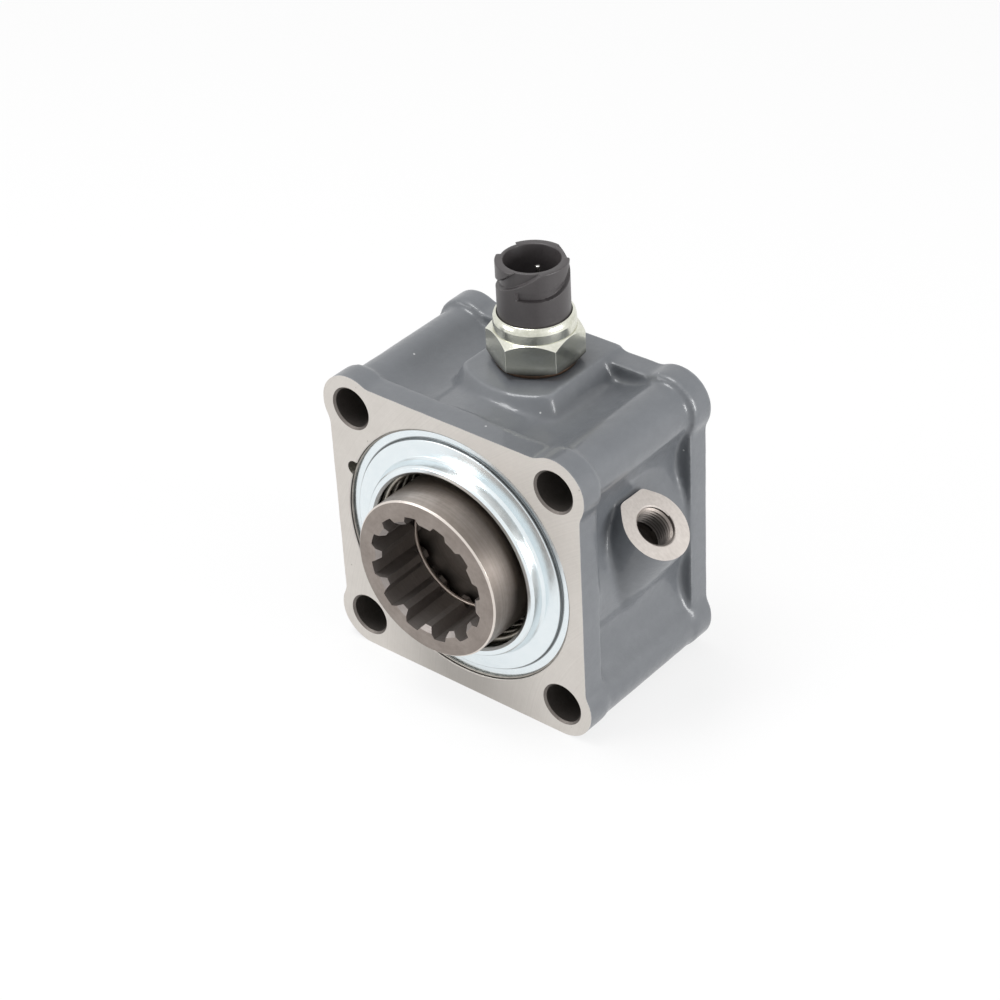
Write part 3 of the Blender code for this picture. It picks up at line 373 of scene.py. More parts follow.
switch_axis_y = 43.2 * MM
ON_SWITCH = Matrix.Translation((0, switch_axis_y, shaft_z))
shank_length = 9.4 * MM
shank_hole_radius = 9 * MM
shank_hole_chamfer = 0.6 * MM
switch_drill = [(0, pad_top - shank_length), (shank_hole_radius, pad_top - shank_length),
                (shank_hole_radius, pad_top - shank_hole_chamfer),
                (shank_hole_radius + shank_hole_chamfer + far, pad_top + far), (0, pad_top + far)]
cutters.append(lathe("switch_drill", switch_drill, 64, ON_SWITCH))

port_thread_radius = 6.65 * MM
port_hole_depth = 13 * MM
port_edge = 0.4 * MM
port_drill = [(0, -port_hole_depth), (port_thread_radius, -port_hole_depth), (port_thread_radius, -port_edge),
              (port_thread_radius + port_edge + far, far), (0, far)]
cutters.append(lathe("port_drill", port_drill, 96, ON_PORT))

notch = round_shaft(front_bore_radius, math.radians(157), 0)
notch_radius = 2.7 * MM
notch_depth = 4 * MM
cutters.append(drill("notch_mill", (notch.x, -far, notch.z), (notch.x, notch_depth, notch.z), notch_radius))
air_hole_radius = 2 * MM
air_hole_overlap = 1 * MM
air_hole_end = (39 * MM, 26 * MM, shaft_z)
cutters.append(drill("port_air_drill", port_face - port_normal * (port_hole_depth - air_hole_overlap),
                     air_hole_end, air_hole_radius))
carve(casting, cutters)


def shade(thing, material, sharp_angle):
    """Give a piece one finish, smooth but for edges sharper than that angle."""
    thing.data.materials.clear()
    thing.data.materials.append(material)
    thing.data.shade_smooth()
    thing.data.set_sharp_from_angle(angle=math.radians(sharp_angle))


def shade_crisp(thing, material, sharp_angle):
    """Shade a machined or pressed piece so that its flats stay flat beside small rounded edges."""
    shade(thing, material, sharp_angle)
    flats = thing.modifiers.new("flat_faces", "WEIGHTED_NORMAL")
    flats.keep_sharp = True
    apply_modifiers(thing)


def node(tree, kind, sockets=None, **settings):
    """Add a node, set its settings, then set or link its inputs. A tuple is a colour."""
    made = tree.nodes.new(kind)
    for key, value in settings.items():
        setattr(made, key, value)
    for key, value in (sockets or {}).items():
        if isinstance(value, bpy.types.NodeSocket):
            tree.links.new(value, made.inputs[key])
        else:
            made.inputs[key].default_value = (*value, 1) if isinstance(value, tuple) else value
    return made


def maths(tree, operation, *values):
    return node(tree, "ShaderNodeMath", dict(enumerate(values)), operation=operation).outputs[0]


def vector_maths(tree, operation, first, second):
    return node(tree, "ShaderNodeVectorMath", {0: first, 1: second}, operation=operation).outputs


def remap(tree, value, low, high, to_low=0.0, to_high=1.0):
    return node(tree, "ShaderNodeMapRange", {"Value": value, "From Min": low, "From Max": high,
                                             "To Min": to_low, "To Max": to_high}).outputs[0]


def mix_colours(tree, share, first, second):
    return node(tree, "ShaderNodeMix", {0: share, 6: first, 7: second}, data_type="RGBA").outputs[2]


def spread(tree, value, contrast):
    """Widen a value about one half by that contrast and keep it between zero and one."""
    centred = maths(tree, "MULTIPLY", maths(tree, "SUBTRACT", value, 0.5), contrast)
    return node(tree, "ShaderNodeMath", {0: centred, 1: 0.5}, operation="ADD", use_clamp=True).outputs[0]


def new_group(name, inputs, outputs):
    """Shader node group: its sockets Vector and Centre are vectors, and the others are numbers."""
    group = bpy.data.node_groups.new(name, "ShaderNodeTree")
    for way, labels in (("INPUT", inputs), ("OUTPUT", outputs)):
        for label in labels:
            kind = "NodeSocketVector" if label in ("Vector", "Centre") else "NodeSocketFloat"
            group.interface.new_socket(label, in_out=way, socket_type=kind)
    return group, group.nodes.new("NodeGroupInput").outputs, group.nodes.new("NodeGroupOutput").inputs


def make_mottle():
    """Cloudy unevenness of a coat or a plain metal: a value about one half and a height."""
    group, given, result = new_group("mottle", ("Vector", "Size", "Contrast"), ("Value", "Height"))
    scale = maths(group, "DIVIDE", 1.0, given["Size"])
    broad = node(group, "ShaderNodeTexNoise", {"Vector": given["Vector"], "Scale": scale, "Detail": 4.0})
    fine_scale = maths(group, "MULTIPLY", scale, 5.3)
    fine = node(group, "ShaderNodeTexNoise", {"Vector": given["Vector"], "Scale": fine_scale, "Detail": 2.0})
    both = maths(group, "ADD", maths(group, "MULTIPLY", broad.outputs[0], 0.65),
                 maths(group, "MULTIPLY", fine.outputs[0], 0.35))
    group.links.new(spread(group, both, given["Contrast"]), result["Value"])
    group.links.new(both, result["Height"])
    return group


def make_specks():
    """Small scattered spots, such as paint chips, grit or pits."""
    group, given, result = new_group("specks", ("Vector", "Spacing", "Size", "Share"), ("Mask",))
    scale = maths(group, "DIVIDE", 1.0, given["Spacing"])
    cells = node(group, "ShaderNodeTexVoronoi", {"Vector": given["Vector"], "Scale": scale})
    lot = node(group, "ShaderNodeSeparateColor", {"Color": cells.outputs["Color"]}).outputs[0]
    chosen = maths(group, "LESS_THAN", lot, given["Share"])
    edge = maths(group, "MULTIPLY", given["Size"], 1.4)
    spot = remap(group, cells.outputs["Distance"], given["Size"], edge, 1.0, 0.0)
    group.links.new(maths(group, "MULTIPLY", spot, chosen), result["Mask"])
    return group


def make_cutting_marks():
    """Fine rings that a cutter leaves round a centre, on faces and on round walls alike."""
    group, given, result = new_group("cutting_marks", ("Vector", "Centre", "Spacing", "Contrast"),
                                     ("Value", "Height"))
    place = vector_maths(group, "SUBTRACT", given["Vector"], given["Centre"])["Vector"]
    parts = node(group, "ShaderNodeSeparateXYZ", {0: place}).outputs
    radius = maths(group, "SQRT", maths(group, "ADD", maths(group, "MULTIPLY", parts["X"], parts["X"]),
                                        maths(group, "MULTIPLY", parts["Z"], parts["Z"])))
    along = node(group, "ShaderNodeCombineXYZ", {"X": radius, "Y": parts["Y"]}).outputs[0]
    scale = maths(group, "DIVIDE", 1.0, given["Spacing"])
    rings = node(group, "ShaderNodeTexNoise", {"Vector": along, "Scale": scale, "Detail": 2.0}).outputs[0]
    group.links.new(spread(group, rings, given["Contrast"]), result["Value"])
    group.links.new(rings, result["Height"])
    return group


mottle = make_mottle()
specks = make_specks()
cutting_marks = make_cutting_marks()


def new_material(name, metallic=0.0):
    """Material with a plain shader: returns it with its tree, shader and place on the piece."""
    material = bpy.data.materials.new(name)
    material.use_nodes = True
    tree = material.node_tree
    shader = tree.nodes["Principled BSDF"]
    shader.inputs["Metallic"].default_value = metallic
    place = tree.nodes.new("ShaderNodeTexCoord").outputs["Object"]
    return material, tree, shader, place


def use(tree, group, **sockets):
    return node(tree, "ShaderNodeGroup", sockets, node_tree=group).outputs


def coat(tree, shader, colour, roughness):
    tree.links.new(colour, shader.inputs["Base Color"])
    tree.links.new(roughness, shader.inputs["Roughness"])


def bump(tree, shader, height, depth):
    """Raise the surface by that depth where height is one."""
    raised = node(tree, "ShaderNodeBump", {"Height": height, "Distance": depth, "Strength": 1.0})
    tree.links.new(raised.outputs[0], shader.inputs["Normal"])


def make_paint():
    """Satin dark grey spray paint over sand-cast iron, lighter along its edges, partly as chips and dust and
    partly as painted highlight.
    """
    material, tree, shader, place = new_material("dark_grey_paint")
    cloud = use(tree, mottle, Vector=place, Size=0.014, Contrast=1.6)
    colour = mix_colours(tree, cloud["Value"], (0.09, 0.097, 0.107), (0.121, 0.129, 0.14))
    grit = use(tree, specks, Vector=place, Spacing=0.0052, Size=0.055, Share=0.14)
    colour = mix_colours(tree, maths(tree, "MULTIPLY", grit["Mask"], 0.7), colour, (0.6, 0.6, 0.6))
    bend = tree.nodes.new("ShaderNodeNewGeometry").outputs["Pointiness"]
    rim = remap(tree, bend, 0.515, 0.56)
    patchy = use(tree, mottle, Vector=place, Size=0.003, Contrast=3.0)
    # Convex edges turn lighter: partly chipped, dusty paint and partly a painted highlight.
    paint_wear_and_edge_highlight = maths(tree, "MULTIPLY", rim, maths(tree, "MULTIPLY", patchy["Value"], 0.55))
    colour = mix_colours(tree, paint_wear_and_edge_highlight, colour, (0.34, 0.35, 0.36))
    coat(tree, shader, colour, remap(tree, patchy["Value"], 0.0, 1.0, 0.36, 0.52))
    shader.inputs["Coat Weight"].default_value = 0.5
    shader.inputs["Coat Roughness"].default_value = 0.11
    skin = use(tree, mottle, Vector=place, Size=0.0022, Contrast=1.0)
    bump(tree, shader, skin["Height"], 0.00012)
    return material


def make_milled(name, centre, light, dark, spacing=0.0006, metallic=0.85, darker_patch=None, mouth=None):
    """Bare iron with a cutter's arcs, a few pits, a darker round patch about a given point and painted shade
    inwards from a mouth.
    """
    material, tree, shader, place = new_material(name, metallic)
    sweep = use(tree, cutting_marks, Vector=place, Centre=centre, Spacing=spacing, Contrast=1.4)
    cloud = use(tree, mottle, Vector=place, Size=0.009, Contrast=1.5)
    both = maths(tree, "MULTIPLY_ADD", sweep["Value"], 0.5, maths(tree, "MULTIPLY", cloud["Value"], 0.5))
    colour = mix_colours(tree, both, dark, light)
    pits = use(tree, specks, Vector=place, Spacing=0.0031, Size=0.07, Share=0.12)
    colour = mix_colours(tree, maths(tree, "MULTIPLY", pits["Mask"], 0.55), colour, (0.16, 0.14, 0.12))
    # Darker in a round patch about the given point, most at its centre.
    if darker_patch:
        from_darker_patch = vector_maths(tree, "DISTANCE", place, darker_patch)["Value"]
        darker_patch_share = remap(tree, from_darker_patch, 8 * MM, 36 * MM, 0.5, 0.0)
        colour = mix_colours(tree, darker_patch_share, colour, (0.2, 0.185, 0.17))
    # Painted shade: the hole's wall darkens inwards from its mouth.
    if mouth:
        inward = vector_maths(tree, "SUBTRACT", place, mouth)["Vector"]
        depth = vector_maths(tree, "DOT_PRODUCT", inward, port_normal)["Value"]
        shadow = remap(tree, depth, -5 * MM, -1 * MM, 0.95, 0.2)
        colour = mix_colours(tree, shadow, colour, (0.05, 0.045, 0.042))
    coat(tree, shader, colour, remap(tree, both, 0.2, 0.8, 0.52, 0.4))
    bump(tree, shader, sweep["Height"], 0.000006)
    return material


paint = make_paint()
milled_face = make_milled("milled_flange_face", Vector((0.11, 0, -0.02)), (0.7, 0.665, 0.625),
                          (0.56, 0.53, 0.495), darker_patch=Vector((0, 0, 3 * MM)))
milled_port = make_milled("milled_port_face", port_face + Vector((0.02, 0.03, 0.0)), (0.62, 0.575, 0.54),
                          (0.38, 0.345, 0.315), 0.0009, metallic=0.35)
bored_iron = make_milled("bored_iron", shaft_centre, (0.4, 0.38, 0.33), (0.24, 0.22, 0.19), 0.0004)
# Iron of the drilled holes, made dark as painted shade inside them.
drilled_iron_painted_shade = make_milled("drilled_iron_painted_shade", Vector(), (0.22, 0.2, 0.185), (0.12, 0.105, 0.095))

shade(casting, paint, 32)
for finish in (milled_face, milled_port, bored_iron, drilled_iron_painted_shade):
    casting.data.materials.append(finish)
PAINTED, MILLED, PORT_MILLED, BORED, DRILLED = range(5)
near = 0.02 * MM
margin = 0.7 * MM
port_face_reach = 20 * MM
bored_reach = 44.9 * MM
mouth_inner_reach = 43 * MM


def housing_finish(point):
    """Material slot of a face of the housing, from where its centre lies."""
    from_port = point - port_face
    depth = from_port.dot(port_normal)
    off_port = (from_port - port_normal * depth).length
    from_shaft = math.hypot(point.x, point.z - shaft_z)
    from_bolt = math.hypot(abs(point.x) - bolt_offset, abs(point.z - shaft_z) - bolt_offset)
    from_switch = math.hypot(point.x, point.y - switch_axis_y)
    from_notch = math.hypot(point.x - notch.x, point.z - notch.z)
    if point.y < near or point.y > housing_depth - near:
        return MILLED
    in_port = off_port < port_thread_radius + margin
    if -port_edge < depth < near and from_port.length < port_face_reach and (depth > -near or in_port):
        return PORT_MILLED
    if in_port and -port_hole_depth - near < depth < 0:
        return DRILLED
    if from_shaft < bored_reach:
        return MILLED if from_shaft > mouth_inner_reach and point.y < notch_depth else BORED
    if from_bolt < bolt_hole_radius + margin:
        return DRILLED
    if from_switch < shank_hole_radius + margin and point.z < shaft_z + pad_top - near:
        return DRILLED
    if from_notch < notch_radius + margin and point.y < notch_depth + margin:
        return BORED
    return PAINTED


for face in casting.data.polygons:
    face.material_index = housing_finish(face.center)
lowest, highest = cad_box
for vertex in casting.data.vertices:
    for axis in (0, 2):
        vertex.co[axis] = min(max(vertex.co[axis], lowest[axis]), highest[axis])
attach(casting, "housing")
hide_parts("housing")


# Thread of the air port
# A fine metric thread tapped into the iron, so its crests catch the light at the mouth of the hole.

thread_pitch = 1.25 * MM
thread_height = 0.72 * MM
thread_start = -10.55 * MM
thread_turns = 8
steps_per_turn = 64
thread_steps = thread_turns * steps_per_turn
run_in_steps = 16
run_out_steps = 24
thread_foot = port_thread_radius - 0.02 * MM
crest_half_width = 0.08 * MM
foot_half_width = 0.57 * MM
thread_root = (port_thread_radius + 0.05 * MM, 0.61 * MM)
tapped = bmesh.new()
rings = []
for i in range(thread_steps + 1):
    climb = thread_start + thread_pitch * i / steps_per_turn
    fade = min(1, i / run_in_steps, (thread_steps - i) / run_out_steps)
    crest = thread_foot - thread_height * fade
    half = [thread_root, (thread_foot, foot_half_width), (crest, crest_half_width)]
    section = [(r, -h) for r, h in half] + half[::-1]
    rings.append([ON_PORT @ around(r, 2 * math.pi * i / steps_per_turn, climb + h) for r, h in section])
add_loft(tapped, rings)
thread = new_object("port_thread", tapped)
tapped_iron = make_milled("tapped_iron", Vector(), (0.36, 0.32, 0.29), (0.2, 0.175, 0.16), mouth=port_face)
shade(thread, tapped_iron, 25)
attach(thread, "housing")


# Spring retainer
# A ring pressed from steel sheet and zinc plated: an outer band against the bore's step, a raised flat,
# and a rolled lip over the return spring. Its points are radius and y in millimetres.

retainer_band = [(44, 3)]
retainer_front = [(44, 1.5), (40.9, 1.5), (40.75, 1.3), (40.6, 0.3), (34.9, 0.3), (34.3, -0.6), (33.6, -3.3),
                  (33.0, -4.1), (31.6, -4.1), (30.7, -3.3)]
retainer_back = [(30.8, -2.6), (32.1, -2.6), (32.7, 1.2), (33.6, 2.0), (39.2, 2.0), (39.4, 3.5), (44, 3.6)]
retainer_bend = 0.5
retainer_step_radius = 40.85 * MM


def make_zinc():
    """Bright zinc plate with a bluish cast, faint drawing rings, dull stains and painted shade along the
    step.
    """
    material, tree, shader, place = new_material("bright_zinc_plate", 1.0)
    rings = use(tree, cutting_marks, Vector=place, Centre=shaft_centre, Spacing=0.0012, Contrast=1.0)
    cloud = use(tree, mottle, Vector=place, Size=0.006, Contrast=1.8)
    colour = mix_colours(tree, cloud["Value"], (0.74, 0.81, 0.84), (0.84, 0.89, 0.91))
    darker_patch = use(tree, specks, Vector=place, Spacing=0.009, Size=0.025, Share=0.25)
    colour = mix_colours(tree, maths(tree, "MULTIPLY", darker_patch["Mask"], 0.5), colour, (0.4, 0.42, 0.42))
    # Painted shade: a dark line along the step of the pressing.
    across = vector_maths(tree, "MULTIPLY", place, Vector((1, 0, 1)))["Vector"]
    from_axis = vector_maths(tree, "DISTANCE", across, shaft_centre)["Value"]
    from_step = maths(tree, "ABSOLUTE", maths(tree, "SUBTRACT", from_axis, retainer_step_radius))
    step_painted_shade = remap(tree, from_step, 0.2 * MM, 0.5 * MM, 0.85, 0.0)
    colour = mix_colours(tree, step_painted_shade, colour, (0.13, 0.14, 0.145))
    coat(tree, shader, colour, remap(tree, cloud["Value"], 0.2, 0.8, 0.2, 0.27))
    bump(tree, shader, rings["Height"], 0.000004)
    return material


pressed = in_metres(retainer_band + rounded(retainer_front, retainer_bend) + retainer_back)
retainer = lathe("pressed_retainer", pressed, 192, ON_SHAFT)
shade_crisp(retainer, make_zinc(), 40)
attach(retainer, "housing")
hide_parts("spring_retainer")


# Snap ring
# A ring of spring wire with a narrow gap between its ends, sprung into a groove in the bore to hold the
# retainer in.

def make_clouded(name, metallic, size, contrast, dark, light, roughness, span=(0.2, 0.8), relief=0):
    """Plain finish clouded between two colours, with the roughness of each and the clouds' relief."""
    material, tree, shader, place = new_material(name, metallic)
    cloud = use(tree, mottle, Vector=place, Size=size, Contrast=contrast)
    coat(tree, shader, mix_colours(tree, cloud["Value"], dark, light),
         remap(tree, cloud["Value"], *span, *roughness))
    if relief:
        bump(tree, shader, cloud["Height"], relief)
    return material


def make_wire_steel(name, light, dark, roughness):
    """Drawn spring steel with a film of oil."""
    return make_clouded(name, 1.0, 0.003, 2.0, dark, light, (roughness + 0.1, roughness), relief=0.00002)


def bent_wire(name, path, radius, sides=16):
    """Round wire along a path."""
    wire = bmesh.new()
    rings = []
    for i, point in enumerate(path):
        ahead = (path[min(i + 1, len(path) - 1)] - path[max(i - 1, 0)]).normalized()
        side = ahead.cross(Vector((0, 1, 0))).normalized()
        up = side.cross(ahead)
        angles = [2 * math.pi * k / sides for k in range(sides)]
        rings.append([point + (side * math.cos(a) + up * math.sin(a)) * radius for a in angles])
    add_loft(wire, rings)
    return new_object(name, wire)


def ring_path(radius, y, start, sweep, steps):
    """Open ring round the shaft's axis, from that angle in degrees."""
    return [round_shaft(radius, math.radians(start) + math.radians(sweep) * i / steps, y)
            for i in range(steps + 1)]


snap_wire = bent_wire("snap_wire", ring_path(44 * MM, 1 * MM, 24, 352, 160), 0.42 * MM)
snap_steel = make_wire_steel("snap_wire_steel", (0.42, 0.395, 0.36), (0.22, 0.205, 0.185), 0.4)
shade(snap_wire, snap_steel, 50)
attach(snap_wire, "housing")
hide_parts("retainer_snap_ring")


# Return spring
# A coil of oiled spring wire round the sleeve, between the retainer's lip and the ledge in the piston.

spring_radius = 30.6 * MM
spring_wire_radius = 1.1 * MM
spring_front = -1.2 * MM
spring_rear = 20 * MM
spring_turns = 5
spring_steps = spring_turns * steps_per_turn
spring_path = [round_shaft(spring_radius, 2 * math.pi * i / steps_per_turn,
                           spring_front + (spring_rear - spring_front) * i / spring_steps)
               for i in range(spring_steps + 1)]
spring_steel = make_wire_steel("spring_wire", (0.56, 0.53, 0.47), (0.36, 0.34, 0.29), 0.34)
spring = bent_wire("coil_spring", spring_path, spring_wire_radius)
shade(spring, spring_steel, 50)
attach(spring, "housing")
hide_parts("return_spring")
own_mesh(spring)


# Shift sleeve
# A hardened steel sleeve, turned outside and broached inside: twelve coarse teeth at the front for the
# gearbox's shaft and fine slip teeth behind. A wire stop ring crosses the coarse teeth at their rear.

def make_turned_steel(name, light, dark, roughness):
    """Turned and heat-treated steel: rings from the tool and a brownish, uneven oxide."""
    material, tree, shader, place = new_material(name, 1.0)
    rings = use(tree, cutting_marks, Vector=place, Centre=shaft_centre, Spacing=0.0004, Contrast=1.6)
    cloud = use(tree, mottle, Vector=place, Size=0.007, Contrast=2.0)
    both = maths(tree, "MULTIPLY_ADD", rings["Value"], 0.4, maths(tree, "MULTIPLY", cloud["Value"], 0.6))
    coat(tree, shader, mix_colours(tree, both, dark, light),
         remap(tree, both, 0.2, 0.8, roughness + 0.12, roughness))
    bump(tree, shader, rings["Height"], 0.000012)
    return material


sleeve_radius = 27.4 * MM
sleeve_front_y = -15.2 * MM
sleeve_rear_y = 36 * MM
sleeve_face_radius = 24.7 * MM
sleeve_face_fall = 0.3 * MM
sleeve_edge_bevel = 0.5 * MM
sleeve_edge_round = 0.08 * MM
ring_groove_radius = 26.2 * MM
ring_grooves = ((21.9 * MM, 23.8 * MM), (27.2 * MM, 29.1 * MM))
tooth_tip_radius = 18.8 * MM
tooth_root_radius = 22.1 * MM
tooth_count = 12
tooth_phase = math.radians(26.2)
teeth_end_y = 5 * MM
slip_tip_radius = 23.2 * MM
slip_root_radius = 24.7 * MM
slip_count = 24
lead_in = 1.4 * MM
lead_slope = 1.6 / 1.4
stop_groove = [(0, 1.75), (21, 1.75), (21, 3.45), (0, 3.45)]


def tooth_outline(count, inner_radius, outer_radius, inner_share, outer_share, phase, corner_steps=3):
    """Ring of straight-sided teeth that point inwards from the outer radius."""
    pitch = 2 * math.pi / count
    points = []
    for tooth in range(count):
        middle = phase + tooth * pitch
        inner_half = pitch * inner_share / 2
        outer_half = pitch * outer_share / 2
        points += arc((0, 0), inner_radius, middle - inner_half, middle + inner_half, corner_steps)
        points += arc((0, 0), outer_radius, middle + outer_half, middle + pitch - outer_half, corner_steps)
    return points


bevel_y = sleeve_front_y + sleeve_face_fall
sleeve_nose = [(1 * MM, sleeve_front_y), (sleeve_face_radius, sleeve_front_y),
               (sleeve_radius - sleeve_edge_bevel, bevel_y),
               (sleeve_radius, bevel_y + sleeve_edge_bevel), (sleeve_radius, ring_grooves[0][0])]
sleeve_outside = [(0, sleeve_front_y)] + rounded(sleeve_nose, sleeve_edge_round)[:-1]
for front_y, rear_y in ring_grooves:
    sleeve_outside += [(sleeve_radius, front_y), (ring_groove_radius, front_y),
                       (ring_groove_radius, rear_y), (sleeve_radius, rear_y)]
sleeve_outside += [(sleeve_radius, sleeve_rear_y), (0, sleeve_rear_y)]
sleeve = lathe("turned_sleeve", sleeve_outside, 192, ON_SHAFT)
coarse_broach = bmesh.new()
coarse_teeth = tooth_outline(tooth_count, tooth_tip_radius, tooth_root_radius, 0.23, 0.61, tooth_phase)
add_prism(coarse_broach, coarse_teeth, sleeve_front_y - far, teeth_end_y + far)
fine_broach = bmesh.new()
slip_teeth = tooth_outline(slip_count, slip_tip_radius, slip_root_radius, 0.42, 0.52, 0)
add_prism(fine_broach, slip_teeth, teeth_end_y, sleeve_rear_y + far)
sleeve_mouth = [(0, sleeve_front_y - far),
                (tooth_tip_radius + lead_slope * (lead_in + far), sleeve_front_y - far),
                (tooth_tip_radius, sleeve_front_y + lead_in), (0, sleeve_front_y + lead_in)]
carve(sleeve, (new_object("coarse_broach", coarse_broach), new_object("fine_broach", fine_broach),
               lathe("mouth_tool", sleeve_mouth, 128, ON_SHAFT),
               lathe("ring_seat_tool", in_metres(stop_groove), 128, ON_SHAFT)))
sleeve_steel = make_turned_steel("sleeve_steel", (0.37, 0.325, 0.295), (0.2, 0.17, 0.15), 0.34)
broached_steel = make_turned_steel("broached_steel", (0.38, 0.35, 0.335), (0.24, 0.215, 0.2), 0.45)
# Painted highlight: a light steel on the front rim's bevel stands in for the light it catches.
rim_highlight_steel = make_turned_steel("sleeve_rim_painted_highlight", (0.8, 0.74, 0.69), (0.62, 0.56, 0.51), 0.24)
shade_crisp(sleeve, sleeve_steel, 25)
sleeve.data.materials.append(broached_steel)
sleeve.data.materials.append(rim_highlight_steel)
TURNED, BROACHED, RIM_HIGHLIGHT = range(3)
inside_reach = 25 * MM
rim_highlight_inner_reach = 26.8 * MM
face_depth = 0.2 * MM
rim_highlight_depth = 0.9 * MM
for face in sleeve.data.polygons:
    from_axis = math.hypot(face.center.x, face.center.z - shaft_z)
    from_face = face.center.y - sleeve_front_y
    face.material_index = TURNED
    if from_axis < inside_reach and face_depth < from_face < sleeve_rear_y - sleeve_front_y - face_depth:
        face.material_index = BROACHED
    # The rim's bevel takes the painted highlight.
    elif from_axis > rim_highlight_inner_reach and face_depth < from_face < rim_highlight_depth:
        face.material_index = RIM_HIGHLIGHT
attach(sleeve, "sleeve")
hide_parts("shift_sleeve")

stop_ring = bent_wire("stop_wire", ring_path(19 * MM, 2.6 * MM, 105, 350, 120), 0.55 * MM)
stop_steel = make_wire_steel("stop_ring_steel", (0.5, 0.43, 0.38), (0.4, 0.34, 0.3), 0.45)
shade(stop_ring, stop_steel, 50)
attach(stop_ring, "sleeve")
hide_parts("sleeve_stop_ring")


# Pieces behind the sleeve
# The rings that trap the piston, the piston with its seals, the output shaft, the balls and their cage
# and the circlips are only seen from the rear or through the bore, and keep their solids.

aluminium = make_turned_steel("turned_aluminium", (0.74, 0.75, 0.76), (0.6, 0.61, 0.62), 0.3)
shaft_steel = make_turned_steel("shaft_steel", (0.3, 0.27, 0.245), (0.17, 0.15, 0.135), 0.38)
ground_steel = make_turned_steel("ground_bearing_steel", (0.72, 0.72, 0.73), (0.6, 0.6, 0.61), 0.14)
cage_steel = make_turned_steel("cage_steel", (0.55, 0.52, 0.46), (0.42, 0.39, 0.34), 0.34)
black_wire = make_wire_steel("black_wire", (0.14, 0.14, 0.14), (0.05, 0.05, 0.05), 0.35)


def make_rubber():
    """Black nitrile rubber with a dull moulded skin."""
    return make_clouded("nitrile_rubber", 0.0, 0.002, 1.5, (0.012, 0.012, 0.012), (0.03, 0.03, 0.03),
                        (0.55, 0.75), span=(0.0, 1.0))


rubber = make_rubber()
plain_finishes = {
    "piston": aluminium, "piston_outer_seal": rubber, "piston_hub_seal": rubber,
    "sleeve_front_ring": spring_steel, "sleeve_rear_ring": spring_steel, "output_shaft": shaft_steel,
    "bearing_cage": cage_steel, "bearing_circlip": black_wire, "shaft_circlip": black_wire}
for ball in range(11):
    plain_finishes["bearing_ball_%d" % (ball + 1)] = ground_steel
for name, finish in plain_finishes.items():
    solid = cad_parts[name]
    solid.data.materials.clear()
    solid.data.materials.append(finish)


# Bearing races
# A ball bearing pressed into the housing carries the shaft: two rings of hardened steel, each with a
# groove for the balls, ground bright with broken edges.

ball_line = 30 * MM
bearing_middle_y = 46.3 * MM
groove_radius = 3.9 * MM
shoulder_to_ball_line = 2 * MM
half_race = 5 * MM
broken_edge = 0.5 * MM
groove_reach = math.acos(shoulder_to_ball_line / groove_radius)


def race(name, bore_or_rim, side):
    """One race, its plain face at that radius and its groove on the side of the balls."""
    shoulder = ball_line - side * shoulder_to_ball_line
    towards = side * broken_edge
    groove = [(ball_line - side * groove_radius * math.cos(a), bearing_middle_y - groove_radius * math.sin(a))
              for a in (groove_reach * (1 - i / 6) for i in range(13))]
    front, rear = bearing_middle_y - half_race, bearing_middle_y + half_race
    line = [(bore_or_rim, rear - broken_edge), (bore_or_rim, front + broken_edge),
            (bore_or_rim + towards, front), (shoulder - towards, front), (shoulder, front + broken_edge)]
    line += groove
    line += [(shoulder, rear - broken_edge), (shoulder - towards, rear), (bore_or_rim + towards, rear)]
    return lathe(name, line, 160, ON_SHAFT)


races = (("inner_race", 22.8 * MM, 1, "output"), ("outer_race", 37.2 * MM, -1, "housing"))
for name, bore_or_rim, side, body in races:
    ring = race("ground_" + name, bore_or_rim, side)
    shade_crisp(ring, ground_steel, 25)
    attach(ring, body)
    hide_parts("bearing_" + name)


# Switch
# A pressure switch screwed into the pad on a copper washer: a hexagon body turned from bar and plated
# yellow, its top edge crimped over a moulded bayonet socket with two pins.

hexagon_width = 27 * MM
hexagon_base = 52.5 * MM
collar_base = 63 * MM
hexagon_turn = math.radians(2)
hexagon_chamfer = 1.75 * MM
corner = hexagon_width / math.sqrt(3)
flat = hexagon_width / 2
hexagon = bmesh.new()
first_corner = hexagon_turn + math.radians(30)
outline = arc((0, switch_axis_y), corner, first_corner, first_corner + math.radians(300), 5)
add_loft(hexagon, [[(x, y, shaft_z + height) for x, y in outline] for height in (hexagon_base, collar_base)])
switch_body = new_object("switch_hexagon", hexagon)
chamfer_start = flat - 0.2 * MM
chamfer_end = corner + 0.1 * MM
fall = hexagon_chamfer * (chamfer_end - chamfer_start) / (corner - flat)
lower_fall = fall * 0.5
chamfers = [(0, hexagon_base), (chamfer_start, hexagon_base), (chamfer_end, hexagon_base + lower_fall),
            (chamfer_end, collar_base - fall), (chamfer_start, collar_base), (0, collar_base)]
carve(switch_body, [lathe("chamfer_tool", chamfers, 192, ON_SWITCH)], "INTERSECT", "EXACT")
rubbed_corner = switch_body.modifiers.new("rubbed_corner", "BEVEL")
rubbed_corner.width = 0.32 * MM
rubbed_corner.segments = 2
rubbed_corner.limit_method = "ANGLE"
rubbed_corner.angle_limit = math.radians(20)
apply_modifiers(switch_body)


